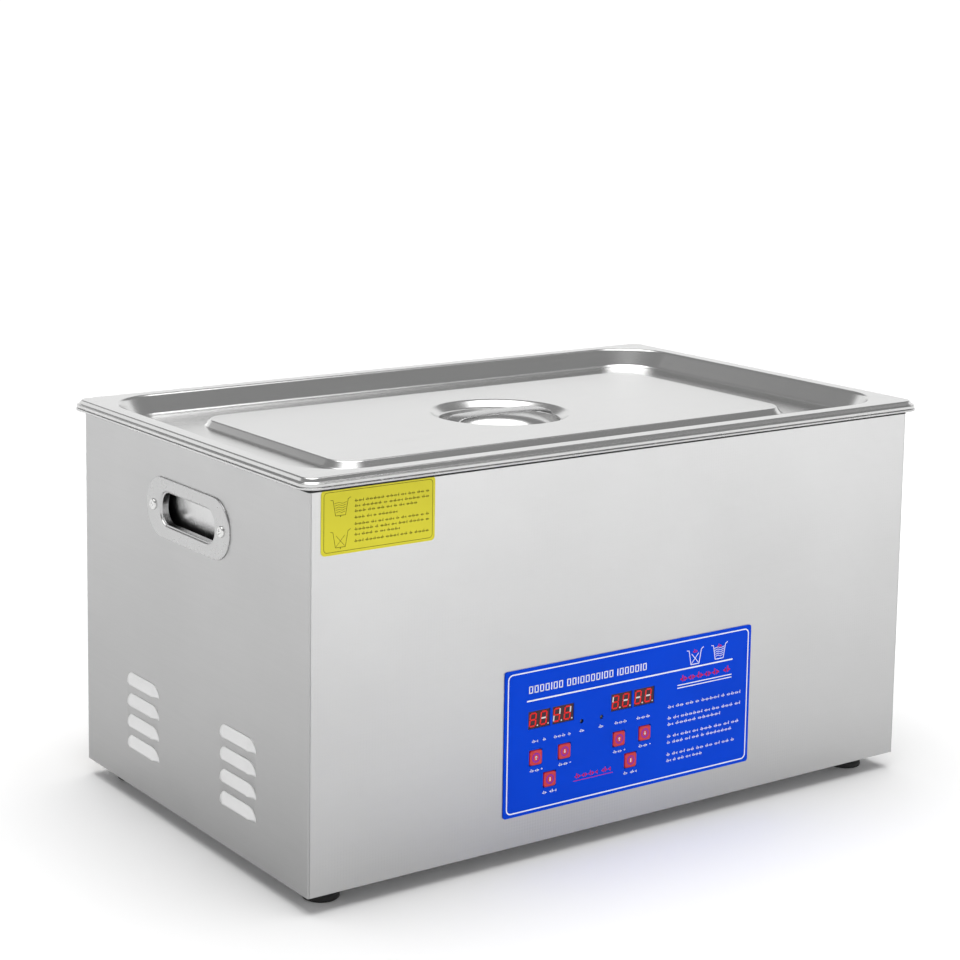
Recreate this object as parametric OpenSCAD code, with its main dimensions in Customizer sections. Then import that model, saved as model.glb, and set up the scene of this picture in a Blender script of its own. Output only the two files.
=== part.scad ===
/* [Overall] */
// Width over the tank's rim, left to right
rim_w = 530; // [515:1:545]
// Depth over the tank's rim, front to back
rim_d = 325; // [318:1:335]
// Height of the lid's flange above the surface
total_h = 280; // [274:1:300]
// How far the drain valve reaches behind the rim
valve_reach = 50; // [46:1:60]

/* [Casing] */
// How far the casing stands inside the rim's edge
casing_inset = 8; // [7:0.5:9]
// Thickness of the casing's sheet
sheet_t = 1; // [0.8:0.1:1.2]
// Drop from the lid's flange to the casing's top edge
rim_drop = 8.5; // [8:0.5:10]
// Width of the open seam beside the front and rear panels
seam = 0.4; // [0.2:0.1:0.6]
// Width of the folded flanges inside the casing
fold_w = 11; // [9:1:14]

/* [Feet] */
// Height of each rubber foot
foot_h = 12; // [10:1:14]
// Radius of a foot where it meets the base
foot_top_r = 12.5; // [11:0.5:15]
// Radius of a foot where it stands
foot_bottom_r = 10.5; // [9:0.5:11]
// Distance from the casing's side to a foot's centre
foot_in = 25; // [20:1:30]

/* [Tank] */
// Depth of the tank below its rim
tank_depth = 146; // [130:1:150]
// Width of the rim between the tank's mouth and the outer edge
rim_land = 14.5; // [14:0.5:16]
// How far each tank wall leans in from top to bottom
tank_taper = 11.5; // [8:0.5:14]
// Thickness of the tank's sheet
tank_t = 1.2; // [1:0.1:1.5]

/* [Lid] */
// Thickness of the lid's sheet
lid_t = 0.9; // [0.7:0.1:1]
// Width of the lid's flange
lid_flange = 12; // [11:0.5:13]
// Depth of the groove round the raised panel, below the flange
groove_drop = 14; // [12:0.5:16]
// Depth of the raised panel below the flange
panel_drop = 9; // [8:0.5:10]
// Width of the groove between the well's wall and the panel
groove_w = 44; // [40:1:50]
// Radius of the handle bowl
bowl_r = 44; // [40:1:48]
// Depth of the handle bowl below the raised panel
bowl_depth = 18; // [15:1:20]
// Width of the bar across the handle bowl
bar_w = 16; // [12:1:20]

/* [Side handles] */
// Length of a handle plate
plate_l = 114; // [100:1:124]
// Height of a handle plate
plate_h = 42; // [38:1:46]
// Length of the finger opening
grip_l = 74; // [66:1:78]
// Height of the finger opening
grip_h = 22; // [20:1:24]
// Height of the finger opening's centre
grip_z = 224; // [215:1:226]

/* [Louvres] */
// Length of one louvre
louvre_l = 48; // [40:1:52]
// Height of one louvre
louvre_h = 9; // [8:0.5:10]
// Pitch of the louvres in a column
louvre_pitch = 15.25; // [14:0.25:18]
// Number of louvres in a column
louvre_count = 4; // [3:1:5]
// Height of the lowest louvre
louvre_z = 45.5; // [40:0.5:55]
// Distance from the casing's middle to a column of louvres
louvre_y = 66.5; // [60:0.5:72]
// How far a louvre's hood stands out of the sheet
louvre_out = 2.2; // [2:0.1:3]

/* [Controls] */
// Width of the control overlay
overlay_w = 216; // [210:1:230]
// Height of the control overlay
overlay_h = 100; // [96:1:104]
// Height of the overlay's centre
overlay_z = 83; // [80:1:90]
// Width and height of one key
key_s = 10; // [9:0.5:11]
// How far a key stands out of the overlay
key_out = 0.7; // [0.5:0.1:1]
// Travel of a key
key_travel = 0.4; // [0.2:0.1:0.5]
// Width of one two-digit display
digit_w = 18.3; // [18:0.1:18.8]
// Height of one two-digit display
digit_h = 12.2; // [11:0.1:13]

/* [Ultrasonics] */
// Number of transducers along the tank
horns_x = 4; // [3:1:4]
// Pitch of the transducers along the tank
horn_pitch = 114; // [90:1:116]
// Distance of each row of transducers from the middle
horn_row = 62; // [50:1:66]
// Radius of a transducer's head
horn_r = 29.5; // [25:0.5:31]
// Radius of the ceramic rings
ring_r = 22.5; // [19:0.5:23]

/* [Basket] */
// Length of the basket
basket_l = 440; // [400:1:450]
// Width of the basket
basket_w = 236; // [200:1:240]
// Height of the basket
basket_h = 96; // [60:1:98]

/* [Rear] */
// Height of the drain valve's axis
drain_z = 88; // [84:1:90]
// Distance of the drain from the middle
drain_x = 200; // [195:1:204]
// Outer radius of the drain pipe
pipe_r = 9; // [8:0.5:9]
// Width of the square cooling fan
fan_w = 80; // [70:1:80]

/* [Hidden] */
$fn = 64;

// Colours
steel = [0.76, 0.76, 0.77];
dull_steel = [0.62, 0.62, 0.63];
black = [0.06, 0.06, 0.06];
board_green = [0.05, 0.32, 0.16];
brass = [0.78, 0.62, 0.30];
aluminium = [0.80, 0.81, 0.83];
overlay_blue = [0.02, 0.22, 0.85];
key_red = [0.72, 0.05, 0.10];
digit_red = [0.28, 0.02, 0.04];
label_yellow = [0.86, 0.80, 0.22];
silicone = [0.75, 0.30, 0.20];

// Casing
casing_y = -valve_reach / 2;
hw = rim_w / 2 - casing_inset;
hd = rim_d / 2 - casing_inset;
casing_top = total_h - rim_drop;
inner_w = hw - sheet_t;
inner_d = hd - sheet_t;
base_top = foot_h + sheet_t;
rim_skew = (rim_w - rim_d) / 2;
side_gap = 0.2;
rear_screw_spots = [for (x = [-1, 1], z = [40, 142, 245]) [x * (inner_w - 3), z]];

// Handle plates
plate_t = 1.2;
grip_lip = 5;
grip_screw_y = (plate_l + grip_l) / 4;

// Care label
label_w = 84.5;
label_h = 41.5;
label_x = -206.7;
label_z = 250;

// Rim, gasket and tank
gasket_t = 1.5;
rim_t = 1.4;
rim_bottom = casing_top + gasket_t;
rim_top = rim_bottom + rim_t;
rim_corner = 12.6;
mouth_x = rim_w / 2 - rim_land;
mouth_corner = 41;
tank_floor = rim_top - tank_depth;
tank_under = tank_floor - tank_t;
floor_bend = 12;

// Lid
rest_gap = 0.3;
well_x = rim_w / 2 - 4.5 - lid_flange;
well_corner = 40;
well_lean = 5;
well_angle = 30;
groove_x = well_x - well_lean;
panel_foot = groove_x - groove_w;
panel_lean = 3.5;
panel_x = panel_foot - panel_lean;
panel_corner = 18;
groove_z = total_h - groove_drop;
panel_z = total_h - panel_drop;
bowl_floor = panel_z - bowl_depth;

// Controls
front_y = -hd;
overlay_t = 0.8;
overlay_x = 1;
key_gap = 0.4;
key_spots = [[-81, 71], [-57, 71], [-69, 54], [-10, 71], [12.7, 71], [0.6, 54]];
digit_z = 97;
digit_rows = [[-78.5, -58.3], [-8.2, 11.8]];
led_spots = [[-42.4, 89], [-25.3, 89]];
board_front = front_y + sheet_t + 12;
board_t = 1.6;
board_low = overlay_z - 44;
board_high = overlay_z + 30;
switch_h = 4.3;
panel_posts = [for (x = [-1, 1], z = [board_low + 4, board_high - 4]) [overlay_x + x * 93, z]];

// Transducers
horn_h = 28;
ring_h = 5;
mass_h = 24;
horn_glue = 0.2;
horn_top = tank_under - horn_glue;
ring_top = horn_top - horn_h;
mass_top = ring_top - 2 * ring_h - 0.4;
horn_spots = [for (i = [0 : horns_x - 1], s = [-1, 1])
    [(i - (horns_x - 1) / 2) * horn_pitch, s * horn_row]];

// Generator board
gen_w = 210;
gen_d = 104;
gen_z = base_top + 8;
gen_top = gen_z + board_t;
gen_holes = [for (x = [-1, 1], y = [-1, 1]) [x * (gen_w / 2 - 6), y * (gen_d / 2 - 6)]];

// Rear panel fittings
rear_y = hd;
fan_x = 150;
fan_z = 74;
fan_t = 25;
guard_tab_t = 1.6;
fan_bore = fan_w / 2 - 2;
fan_hole = fan_w / 2 - 4.25;
inlet_x = -60;
switch_x = 0;
fuse_x = 46;
service_z = 62;
switch_w = 21;
switch_hh = 28;
rocker_tilt = 10;

// Drain
drain_y = 106;
valve_bore_r = 5.5;
ball_r = 8.5;
pipe_bend = 16;
valve_y = rear_y + 26;
rear_limit = rim_d / 2 + valve_reach;
stem_top = drain_z + 27;

// Basket
basket_floor = tank_floor + 14;
basket_t = 0.8;
wire_r = 2;
grip_wire_r = 1.7;

// Outline helpers ----------------------------------------------------------

function unit(v) = v / norm(v);

// Normal on the right of the way from a to b
function side_normal(a, b) = let (u = unit(b - a)) [u[1], -u[0]];

// Mitred normal of a path at its point i
function mitre(path, i) =
    let (last = len(path) - 1,
         before = i == 0 ? side_normal(path[0], path[1]) : side_normal(path[i - 1], path[i]),
         after = i == last ? before : side_normal(path[i], path[i + 1]))
    (before + after) / (1 + before * after);

// Outline of a sheet of thickness t on the right of a path
function sheet_outline(path, t) =
    concat(path, [for (i = [len(path) - 1 : -1 : 0]) path[i] + t * mitre(path, i)]);

// Points of an arc
function arc(centre, r, from, to, steps) =
    [for (i = [0 : steps]) let (a = from + (to - from) * i / steps)
        centre + r * [cos(a), sin(a)]];

// Everything is placed about the casing's middle
module rig() {
    translate([0, casing_y, 0]) children();
}

// A rectangle with round corners, centred
module round_rect(w, d, r) {
    union() {
        square([w - 2 * r, d], center = true);
        square([w, d - 2 * r], center = true);
        for (x = [-1, 1], y = [-1, 1])
            translate([x * (w / 2 - r), y * (d / 2 - r)]) circle(r);
    }
}

// A flat plate with round corners
module round_plate(w, d, r, z, t) {
    translate([0, 0, z]) linear_extrude(t) round_rect(w, d, r);
}

// A flat ring between two rounded rectangles, given by their half widths
module ring_plate(outer, outer_r, inner, inner_r, z, t) {
    translate([0, 0, z]) linear_extrude(t) difference() {
        round_rect(2 * outer, 2 * (outer - rim_skew), outer_r);
        round_rect(2 * inner, 2 * (inner - rim_skew), inner_r);
    }
}

function reverse_path(path) = [for (i = [len(path) - 1 : -1 : 0]) path[i]];

// Sweeps a profile round a rectangle whose corner centres lie at corner_x.
// The profile's x is the half width at the right-hand side and its y is the height.
module ring_sweep(corner_x, outline) {
    corner_y = corner_x - rim_skew;
    local = [for (p = outline) [p[0] - corner_x, p[1]]];
    for (q = [0 : 3])
        translate([(q == 0 || q == 3 ? 1 : -1) * corner_x, (q < 2 ? 1 : -1) * corner_y, 0])
            rotate([0, 0, 90 * q]) rotate_extrude(angle = 90) polygon(local);
    for (s = [0, 180]) {
        rotate([0, 0, s]) translate([corner_x, corner_y, 0]) rotate([90, 0, 0])
            linear_extrude(2 * corner_y) polygon(local);
        rotate([0, 0, s]) translate([-corner_x, corner_y, 0]) rotate([90, 0, 90])
            linear_extrude(2 * corner_x) polygon(local);
    }
}

// A box from one corner to the other
module block(low, high) {
    translate(low) cube(high - low);
}

// A cylinder along Y
module rod_y(r, y1, y2) {
    translate([0, y1, 0]) rotate([-90, 0, 0]) cylinder(r = r, h = y2 - y1);
}

// A cylinder along X
module rod_x(r, x1, x2) {
    translate([x1, 0, 0]) rotate([0, 90, 0]) cylinder(r = r, h = x2 - x1);
}

// A pan-head screw: head above z = 0, shank below
module screw(head_r, head_h, shank_r, shank_l) {
    rotate_extrude() polygon(concat(
        [[0, -shank_l], [shank_r, -shank_l], [shank_r, 0], [head_r, 0]],
        [for (i = [0 : 4]) [head_r * cos(18 * i), head_h * (0.35 + 0.65 * sin(18 * i))]],
        [[0, head_h]]));
}

// Casing -------------------------------------------------------------------

// Front or rear sheet: the face at y = -hd, with its top and bottom folds
module end_sheet() {
    half = inner_w - seam;
    block([-half, -hd, foot_h], [half, -inner_d, casing_top]);
    block([-half + fold_w, -inner_d, base_top], [half - fold_w, -inner_d + fold_w, base_top + sheet_t]);
    block([-half + 6, -inner_d, casing_top - sheet_t], [half - 6, -inner_d + 4, casing_top]);
}

module front_panel() {
    color(steel) rig() difference() {
        end_sheet();
        for (p = key_spots)
            translate([p[0], 0, p[1]])
                block([-key_s / 2 - key_gap, -hd - 1, -key_s / 2 - key_gap],
                      [key_s / 2 + key_gap, -inner_d + 1, key_s / 2 + key_gap]);
        for (row = digit_rows, x = row)
            translate([x, 0, digit_z])
                block([-digit_w / 2 - 0.3, -hd - 1, -digit_h / 2 - 0.3],
                      [digit_w / 2 + 0.3, -inner_d + 1, digit_h / 2 + 0.3]);
        for (p = led_spots)
            translate([p[0], 0, p[1]]) rod_y(1.8, -hd - 1, -inner_d + 1);
    }
}

// One louvre: a long hood pressed out of the sheet, open along its lower edge
module louvre_hood() {
    end = (louvre_l - louvre_h) / 2;
    difference() {
        rotate([0, -90, 0]) linear_extrude(louvre_out) union() {
            square([louvre_h, 2 * end], center = true);
            for (s = [-1, 1]) translate([0, s * end]) circle(louvre_h / 2);
        }
        block([-louvre_out + 0.8, -end, -louvre_h], [1, end, louvre_h / 2 - 1]);
    }
}

// Places one louvre at every position of the side sheet
module at_louvres() {
    for (s = [-1, 1], i = [0 : louvre_count - 1])
        translate([-hw, s * louvre_y, louvre_z + i * louvre_pitch]) children();
}

// Left-hand side sheet; the right-hand one is its mirror image
module side_sheet() {
    end = (louvre_l - louvre_h) / 2;
    difference() {
        block([-hw, -hd, foot_h], [-inner_w, hd, casing_top]);
        translate([-hw - 1, 0, grip_z]) rotate([90, 0, 90])
            linear_extrude(sheet_t + 2) round_rect(grip_l + 3, grip_h + 3, grip_h / 2);
        for (s = [-1, 1])
            translate([0, s * grip_screw_y, grip_z]) rod_x(2.1, -hw - 1, -inner_w + 1);
        at_louvres() block([-1, -end, -louvre_h / 2 + 1], [sheet_t + 1, end, louvre_h / 2 - 1]);
    }
    at_louvres() louvre_hood();
    for (s = [0, 1]) mirror([0, s, 0]) difference() {
        block([-inner_w, -inner_d, base_top + sheet_t], [-inner_w + 6, -inner_d + sheet_t, casing_top - sheet_t]);
        for (p = rear_screw_spots) translate([p[0], 0, p[1]]) rod_y(1.9, -hd, -inner_d + 2 * sheet_t);
    }
    block([-inner_w, -inner_d, base_top], [-inner_w + fold_w, inner_d, base_top + sheet_t]);
    block([-inner_w, -inner_d, casing_top - sheet_t], [-inner_w + 4, inner_d, casing_top]);
}

module left_panel() {
    color(steel) rig() side_sheet();
}

module right_panel() {
    color(steel) rig() mirror([1, 0, 0]) side_sheet();
}

module rear_panel() {
    color(steel) rig() difference() {
        mirror([0, 1, 0]) end_sheet();
        translate([fan_x, 0, fan_z]) rod_y(fan_bore, inner_d - 1, hd + 1);
        translate([fan_x, 0, fan_z]) for (x = [-1, 1], z = [-1, 1])
            translate([x * fan_hole, 0, z * fan_hole]) rod_y(2.1, inner_d - 1, hd + 1);
        translate([inlet_x, 0, service_z]) block([-14, inner_d - 1, -10], [14, hd + 1, 10]);
        translate([switch_x, 0, service_z])
            block([-switch_w / 2, inner_d - 1, -switch_hh / 2], [switch_w / 2, hd + 1, switch_hh / 2]);
        translate([fuse_x, 0, service_z]) rod_y(6.2, inner_d - 1, hd + 1);
        translate([-drain_x, 0, drain_z]) rod_y(pipe_r + 0.5, inner_d - 1, hd + 1);
        for (p = rear_screw_spots) translate([p[0], 0, p[1]]) rod_y(1.9, inner_d - 1, hd + 1);
    }
}

module base_plate() {
    color(dull_steel) rig() difference() {
        block([-inner_w + side_gap, -inner_d + side_gap, foot_h],
              [inner_w - side_gap, inner_d - side_gap, base_top]);
        for (x = [-1, 1], y = [-1, 1])
            translate([x * (hw - foot_in), y * (hd - foot_in), 0])
                cylinder(r = 2.2, h = 3 * foot_h, center = true);
        for (p = gen_holes) translate([p[0], p[1], 0])
            cylinder(r = 1.6, h = 3 * foot_h, center = true);
        for (i = [-4 : 4])
            block([i * 22 - 4, -70, foot_h - 1], [i * 22 + 4, -62, base_top + 1]);
        for (i = [-4 : 4])
            block([i * 22 - 4, 62, foot_h - 1], [i * 22 + 4, 70, base_top + 1]);
    }
}

// Screws that hold the rear sheet to the side sheets' folds, and the fan to the rear sheet
module casing_screws() {
    color(dull_steel) rig() union() {
        for (p = rear_screw_spots)
            translate([p[0], rear_y, p[1]]) rotate([-90, 0, 0]) screw(3, 1.8, 1.8, 5);
        for (x = [-1, 1], z = [-1, 1])
            translate([fan_x + x * fan_hole, rear_y + guard_tab_t, fan_z + z * fan_hole])
                rotate([-90, 0, 0]) screw(3.4, 1.8, 1.8, 12);
    }
}

// Feet ---------------------------------------------------------------------

// A tapered rubber foot with a counterbored screw hole
module foot(x, y) {
    color(black) rig() translate([x * (hw - foot_in), y * (hd - foot_in), 0]) difference() {
        cylinder(r1 = foot_bottom_r, r2 = foot_top_r, h = foot_h);
        translate([0, 0, -1]) cylinder(r = 4.5, h = 5);
        cylinder(r = 2.2, h = foot_h + 1);
    }
}

module foot_front_left() {
    foot(-1, -1);
}

module foot_front_right() {
    foot(1, -1);
}

module foot_rear_left() {
    foot(-1, 1);
}

module foot_rear_right() {
    foot(1, 1);
}

module foot_screws() {
    color(dull_steel) rig() for (x = [-1, 1], y = [-1, 1])
        translate([x * (hw - foot_in), y * (hd - foot_in), 0]) union() {
            translate([0, 0, 4]) mirror([0, 0, 1]) screw(4, 2.2, 2.1, foot_h + 1);
            translate([0, 0, base_top]) cylinder(r = 4.4, h = 3.2, $fn = 6);
        }
}

// Tank ---------------------------------------------------------------------

module tank() {
    wall = concat(
        [[mouth_x + 3.5, rim_top], [mouth_x + 1, rim_top - 0.8], [mouth_x, rim_top - 2.8]],
        arc([mouth_x - tank_taper - floor_bend, tank_floor + floor_bend], floor_bend, 0, -90, 5),
        [[mouth_x - tank_taper - floor_bend - 2, tank_floor]]);
    floor_x = mouth_x - tank_taper - floor_bend - 1;
    color(steel) rig() difference() {
        union() {
            ring_plate(rim_w / 2, rim_corner, mouth_x + 2.5, mouth_corner + 2.5, rim_bottom, rim_t);
            ring_sweep(mouth_x - mouth_corner, sheet_outline(reverse_path(wall), tank_t));
            round_plate(2 * floor_x, 2 * (floor_x - rim_skew), 12, tank_under, tank_t);
        }
        translate([-drain_x, drain_y, tank_under - 1]) cylinder(r = pipe_r - 1, h = tank_t + 2);
    }
}

module rim_gasket() {
    color(black) rig()
        ring_plate(hw - 1.5, 3, mouth_x + 5, mouth_corner + 5, casing_top, gasket_t);
}

// Side handles -------------------------------------------------------------

// The escutcheon of the left-hand finger opening, with its inward lip
module handle_plate() {
    difference() {
        union() {
            translate([-hw - plate_t, 0, grip_z]) rotate([90, 0, 90])
                linear_extrude(plate_t) round_rect(plate_l, plate_h, plate_h / 2 - 0.5);
            translate([-hw, 0, grip_z]) rotate([90, 0, 90])
                linear_extrude(grip_lip) round_rect(grip_l + 2.4, grip_h + 2.4, grip_h / 2);
        }
        translate([-hw - 5, 0, grip_z]) rotate([90, 0, 90])
            linear_extrude(20) round_rect(grip_l, grip_h, grip_h / 2 - 1);
        for (s = [-1, 1])
            translate([0, s * grip_screw_y, grip_z]) rod_x(2.1, -hw - 5, -hw + 1);
    }
}

module handle_plate_left() {
    color(steel) rig() handle_plate();
}

module handle_plate_right() {
    color(steel) rig() mirror([1, 0, 0]) handle_plate();
}

module handle_screws() {
    color(steel) rig() for (m = [0, 1], s = [-1, 1])
        mirror([m, 0, 0]) translate([-hw - plate_t, s * grip_screw_y, grip_z])
            rotate([0, -90, 0]) screw(4, 2, 1.9, 6);
}

// Control panel ------------------------------------------------------------

module control_overlay() {
    color(overlay_blue) rig() difference() {
        translate([overlay_x, -hd, overlay_z]) rotate([90, 0, 0])
            linear_extrude(overlay_t) round_rect(overlay_w, overlay_h, 2);
        for (p = key_spots)
            translate([p[0], 0, p[1]])
                block([-key_s / 2 - key_gap, -hd - 2, -key_s / 2 - key_gap],
                      [key_s / 2 + key_gap, -hd + 1, key_s / 2 + key_gap]);
        for (row = digit_rows, x = row)
            translate([x, 0, digit_z])
                block([-digit_w / 2, -hd - 2, -digit_h / 2], [digit_w / 2, -hd + 1, digit_h / 2]);
        for (p = led_spots) translate([p[0], 0, p[1]]) rod_y(1.6, -hd - 2, -hd + 1);
    }
}

module care_label() {
    color(label_yellow) rig() translate([label_x, -hd, label_z]) rotate([90, 0, 0])
        linear_extrude(0.3) round_rect(label_w, label_h, 3);
}

module control_board() {
    color(board_green) rig() difference() {
        block([overlay_x - 98, board_front, board_low], [overlay_x + 98, board_front + board_t, board_high]);
        for (p = panel_posts) translate([p[0], 0, p[1]])
            rod_y(1.6, board_front - 1, board_front + board_t + 1);
    }
}

module control_standoffs() {
    color(brass) rig() for (p = panel_posts) translate([p[0], 0, p[1]]) union() {
        rod_y(3, -inner_d, board_front);
        rod_y(1.5, board_front, board_front + board_t + 1);
        rod_y(2.8, board_front + board_t, board_front + board_t + 1.8);
    }
}

module tact_switches() {
    color(black) rig() for (p = key_spots) translate([p[0], 0, p[1]]) union() {
        block([-3, board_front - switch_h + 1, -3], [3, board_front, 3]);
        rod_y(1.7, board_front - switch_h, board_front - switch_h + 1);
    }
}

// A pair of two-digit displays that stand on the control board
module display_pair(row) {
    color(digit_red) rig() for (x = row) translate([x, 0, digit_z])
        block([-digit_w / 2 + 0.1, -hd - 0.2, -digit_h / 2 + 0.1],
              [digit_w / 2 - 0.1, board_front, digit_h / 2 - 0.1]);
}

module display_temperature() {
    display_pair(digit_rows[0]);
}

module display_time() {
    display_pair(digit_rows[1]);
}

module indicator_leds() {
    color(black) rig() for (p = led_spots) translate([p[0], 0, p[1]]) union() {
        rod_y(1.5, -hd - 0.3, -inner_d + 2);
        rod_y(1.9, -inner_d + 2, board_front);
    }
}

// A key: a cap in the overlay's window with a stem to its switch
module key(i) {
    color(key_red) rig() translate([key_spots[i][0], 0, key_spots[i][1]]) union() {
        translate([0, -hd + 3, 0]) rotate([90, 0, 0])
            linear_extrude(3 + overlay_t + key_out) round_rect(key_s, key_s, 1.5);
        rod_y(2, -hd + 3, board_front - switch_h - key_travel - 0.1);
    }
}

module key_temp_up() {
    key(0);
}

module key_temp_down() {
    key(1);
}

module key_heat_power() {
    key(2);
}

module key_time_up() {
    key(3);
}

module key_time_down() {
    key(4);
}

module key_timer_power() {
    key(5);
}

// Generator ----------------------------------------------------------------

module generator_board() {
    color(board_green) rig() difference() {
        block([-gen_w / 2, -gen_d / 2, gen_z], [gen_w / 2, gen_d / 2, gen_top]);
        for (p = gen_holes) translate([p[0], p[1], 0]) cylinder(r = 1.7, h = 2 * gen_top);
    }
}

module generator_standoffs() {
    color(brass) rig() for (p = gen_holes) translate([p[0], p[1], 0]) union() {
        translate([0, 0, base_top]) cylinder(r = 3, h = gen_z - base_top, $fn = 6);
        translate([0, 0, foot_h]) cylinder(r = 1.5, h = gen_top - foot_h + 1);
        translate([0, 0, gen_top]) cylinder(r = 2.8, h = 1.8);
    }
}

module heat_sink() {
    color(aluminium) rig() translate([-52, 10, gen_top]) union() {
        block([-36, 0, 0.2], [36, 4, 28]);
        for (i = [0 : 7]) block([-36 + i * 10, 4, 0.2], [-34 + i * 10, 26, 28]);
    }
}

module power_transistors() {
    color(black) rig() for (i = [0 : 3])
        translate([-76 + i * 16, 10, gen_top]) block([-5, -5, 6], [5, -0.1, 22]);
}

module output_transformer() {
    color([0.30, 0.24, 0.20]) rig() for (x = [26, 70]) translate([x, 18, gen_top]) union() {
        block([-17, -10, 0.2], [17, 10, 6]);
        block([-17, -10, 24], [17, 10, 30]);
        translate([0, 0, 6]) cylinder(r = 9.8, h = 18);
        for (s = [-1, 1]) translate([s * 14.5, 0, 0]) block([-2.5, -10, 6], [2.5, 10, 24]);
    }
}

module filter_capacitors() {
    color([0.10, 0.12, 0.30]) rig() for (i = [0 : 3])
        translate([-78 + i * 30, -28, gen_top + 0.2]) cylinder(r = 11, h = 26);
}

module ribbon_cable() {
    rear = board_front + board_t;
    color([0.75, 0.75, 0.78]) rig() union() {
        block([60, rear + 0.1, 46], [84, rear + 1.1, 60]);
        block([60, rear + 0.1, 44.9], [84, rear + 30, 46]);
        block([60, rear + 28.9, gen_top + 0.2], [84, rear + 30, 46]);
        block([60, rear + 28.9, gen_top + 0.2], [84, -gen_d / 2 + 12, gen_top + 1.3]);
    }
}

// Transducers --------------------------------------------------------------

module transducer_heads() {
    color(aluminium) rig() for (p = horn_spots) translate([p[0], p[1], ring_top]) union() {
        cylinder(r1 = ring_r, r2 = horn_r, h = horn_h - 8);
        translate([0, 0, horn_h - 8]) cylinder(r = horn_r, h = 8);
    }
}

module piezo_rings() {
    color([0.90, 0.88, 0.82]) rig() for (p = horn_spots, i = [0, 1])
        translate([p[0], p[1], ring_top - (i + 1) * (ring_h + 0.2)])
            cylinder(r = ring_r - 0.5, h = ring_h);
}

module transducer_masses() {
    color(dull_steel) rig() for (p = horn_spots) translate([p[0], p[1], mass_top - mass_h]) union() {
        cylinder(r = ring_r, h = mass_h - 0.2);
        translate([0, 0, -5]) cylinder(r = 8, h = 5);
    }
}

// Bus wires under the tank with a drop to each transducer's tab
module transducer_wires() {
    bus_z = horn_top - 16;
    run = (horns_x - 1) / 2 * horn_pitch;
    color([0.70, 0.05, 0.05]) rig() for (s = [-1, 1]) union() {
        translate([0, s * 22, bus_z]) rod_x(1.4, -run, run);
        for (i = [0 : horns_x - 1]) translate([(i - (horns_x - 1) / 2) * horn_pitch, 0, 0]) union() {
            translate([0, s * 22, mass_top - 2]) cylinder(r = 1.2, h = bus_z - mass_top + 2);
            translate([0, 0, mass_top - 2]) rod_y(1.2, s > 0 ? 22 : -horn_row + ring_r + 0.1,
                                                  s > 0 ? horn_row - ring_r - 0.1 : -22);
        }
    }
}

// Heating and sensing ------------------------------------------------------

// Two flat heaters on the long walls, leaning with the walls
module heater_pads() {
    lean = atan(tank_taper / (tank_depth - floor_bend));
    middle_z = tank_floor + 64;
    middle_y = mouth_x - rim_skew + tank_t - tank_taper * (rim_top - middle_z) / (tank_depth - floor_bend);
    color(silicone) rig() for (s = [0, 1]) mirror([0, s, 0])
        translate([0, middle_y + 0.6, middle_z]) rotate([-lean, 0, 0])
            block([-170, 0, -38], [170, 2, 38]);
}

module temperature_sensor() {
    color(steel) rig() translate([0, 0, tank_under - 12.2]) union() {
        cylinder(r = 4, h = 12);
        translate([0, 0, 8]) cylinder(r = 9, h = 4);
    }
}

// Fan ----------------------------------------------------------------------

module fan_frame() {
    color(black) rig() translate([fan_x, inner_d - fan_t, fan_z]) union() {
        difference() {
            block([-fan_w / 2, 0, -fan_w / 2], [fan_w / 2, fan_t, fan_w / 2]);
            rod_y(fan_bore, -1, fan_t + 1);
            for (x = [-1, 1], z = [-1, 1])
                translate([x * fan_hole, 0, z * fan_hole]) rod_y(2.1, -1, fan_t + 1);
        }
        rod_y(14, 0, 4);
        rod_y(1.5, 4, 16);
        for (a = [0 : 90 : 270]) rotate([0, a, 0]) block([12, 0, -2], [fan_bore + 1, 3, 2]);
    }
}

module fan_rotor() {
    color(black) rig() translate([fan_x, inner_d - fan_t, fan_z]) difference() {
        union() {
            rod_y(15, 5, 21);
            intersection() {
                rod_y(fan_bore - 2, 5, 21);
                for (i = [0 : 6]) rotate([0, i * 360 / 7, 0]) translate([0, 13, 0]) rotate([38, 0, 0])
                    block([12, -9, -0.8], [fan_bore, 9, 0.8]);
            }
        }
        rod_y(1.55, 4, 17);
    }
}

// Wire guard outside the rear panel
module fan_guard() {
    color(steel) rig() translate([fan_x, hd + 2.4, fan_z]) union() {
        for (r = [12 : 8 : 36]) rotate([90, 0, 0]) rotate_extrude() translate([r, 0]) circle(0.8, $fn = 16);
        for (a = [0, 90]) rotate([0, a, 0]) translate([0, -0.9, 0]) rod_x(0.8, -36, 36);
        for (a = [45 : 90 : 315]) rotate([0, a, 0]) union() {
            translate([0, -0.9, 0]) rod_x(0.8, 36, fan_hole * sqrt(2) - 3.6);
            translate([fan_hole * sqrt(2), 0, 0]) difference() {
                rod_y(4, -2.4, -0.8);
                rod_y(2, -3, 0);
            }
        }
    }
}

// Rear fittings ------------------------------------------------------------

module mains_inlet() {
    color(black) rig() translate([inlet_x, 0, service_z]) union() {
        difference() {
            union() {
                block([-24, hd, -12], [24, hd + 2.5, 12]);
                block([-13.6, hd - 22, -9.6], [13.6, hd, 9.6]);
            }
            block([-11.6, hd - 15, -7.6], [11.6, hd + 3, 7.6]);
        }
        for (p = [[-7, -2], [0, 3], [7, -2]])
            translate([p[0], 0, p[1]]) block([-1, hd - 16, -2.5], [1, hd - 5, 2.5]);
    }
}

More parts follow.
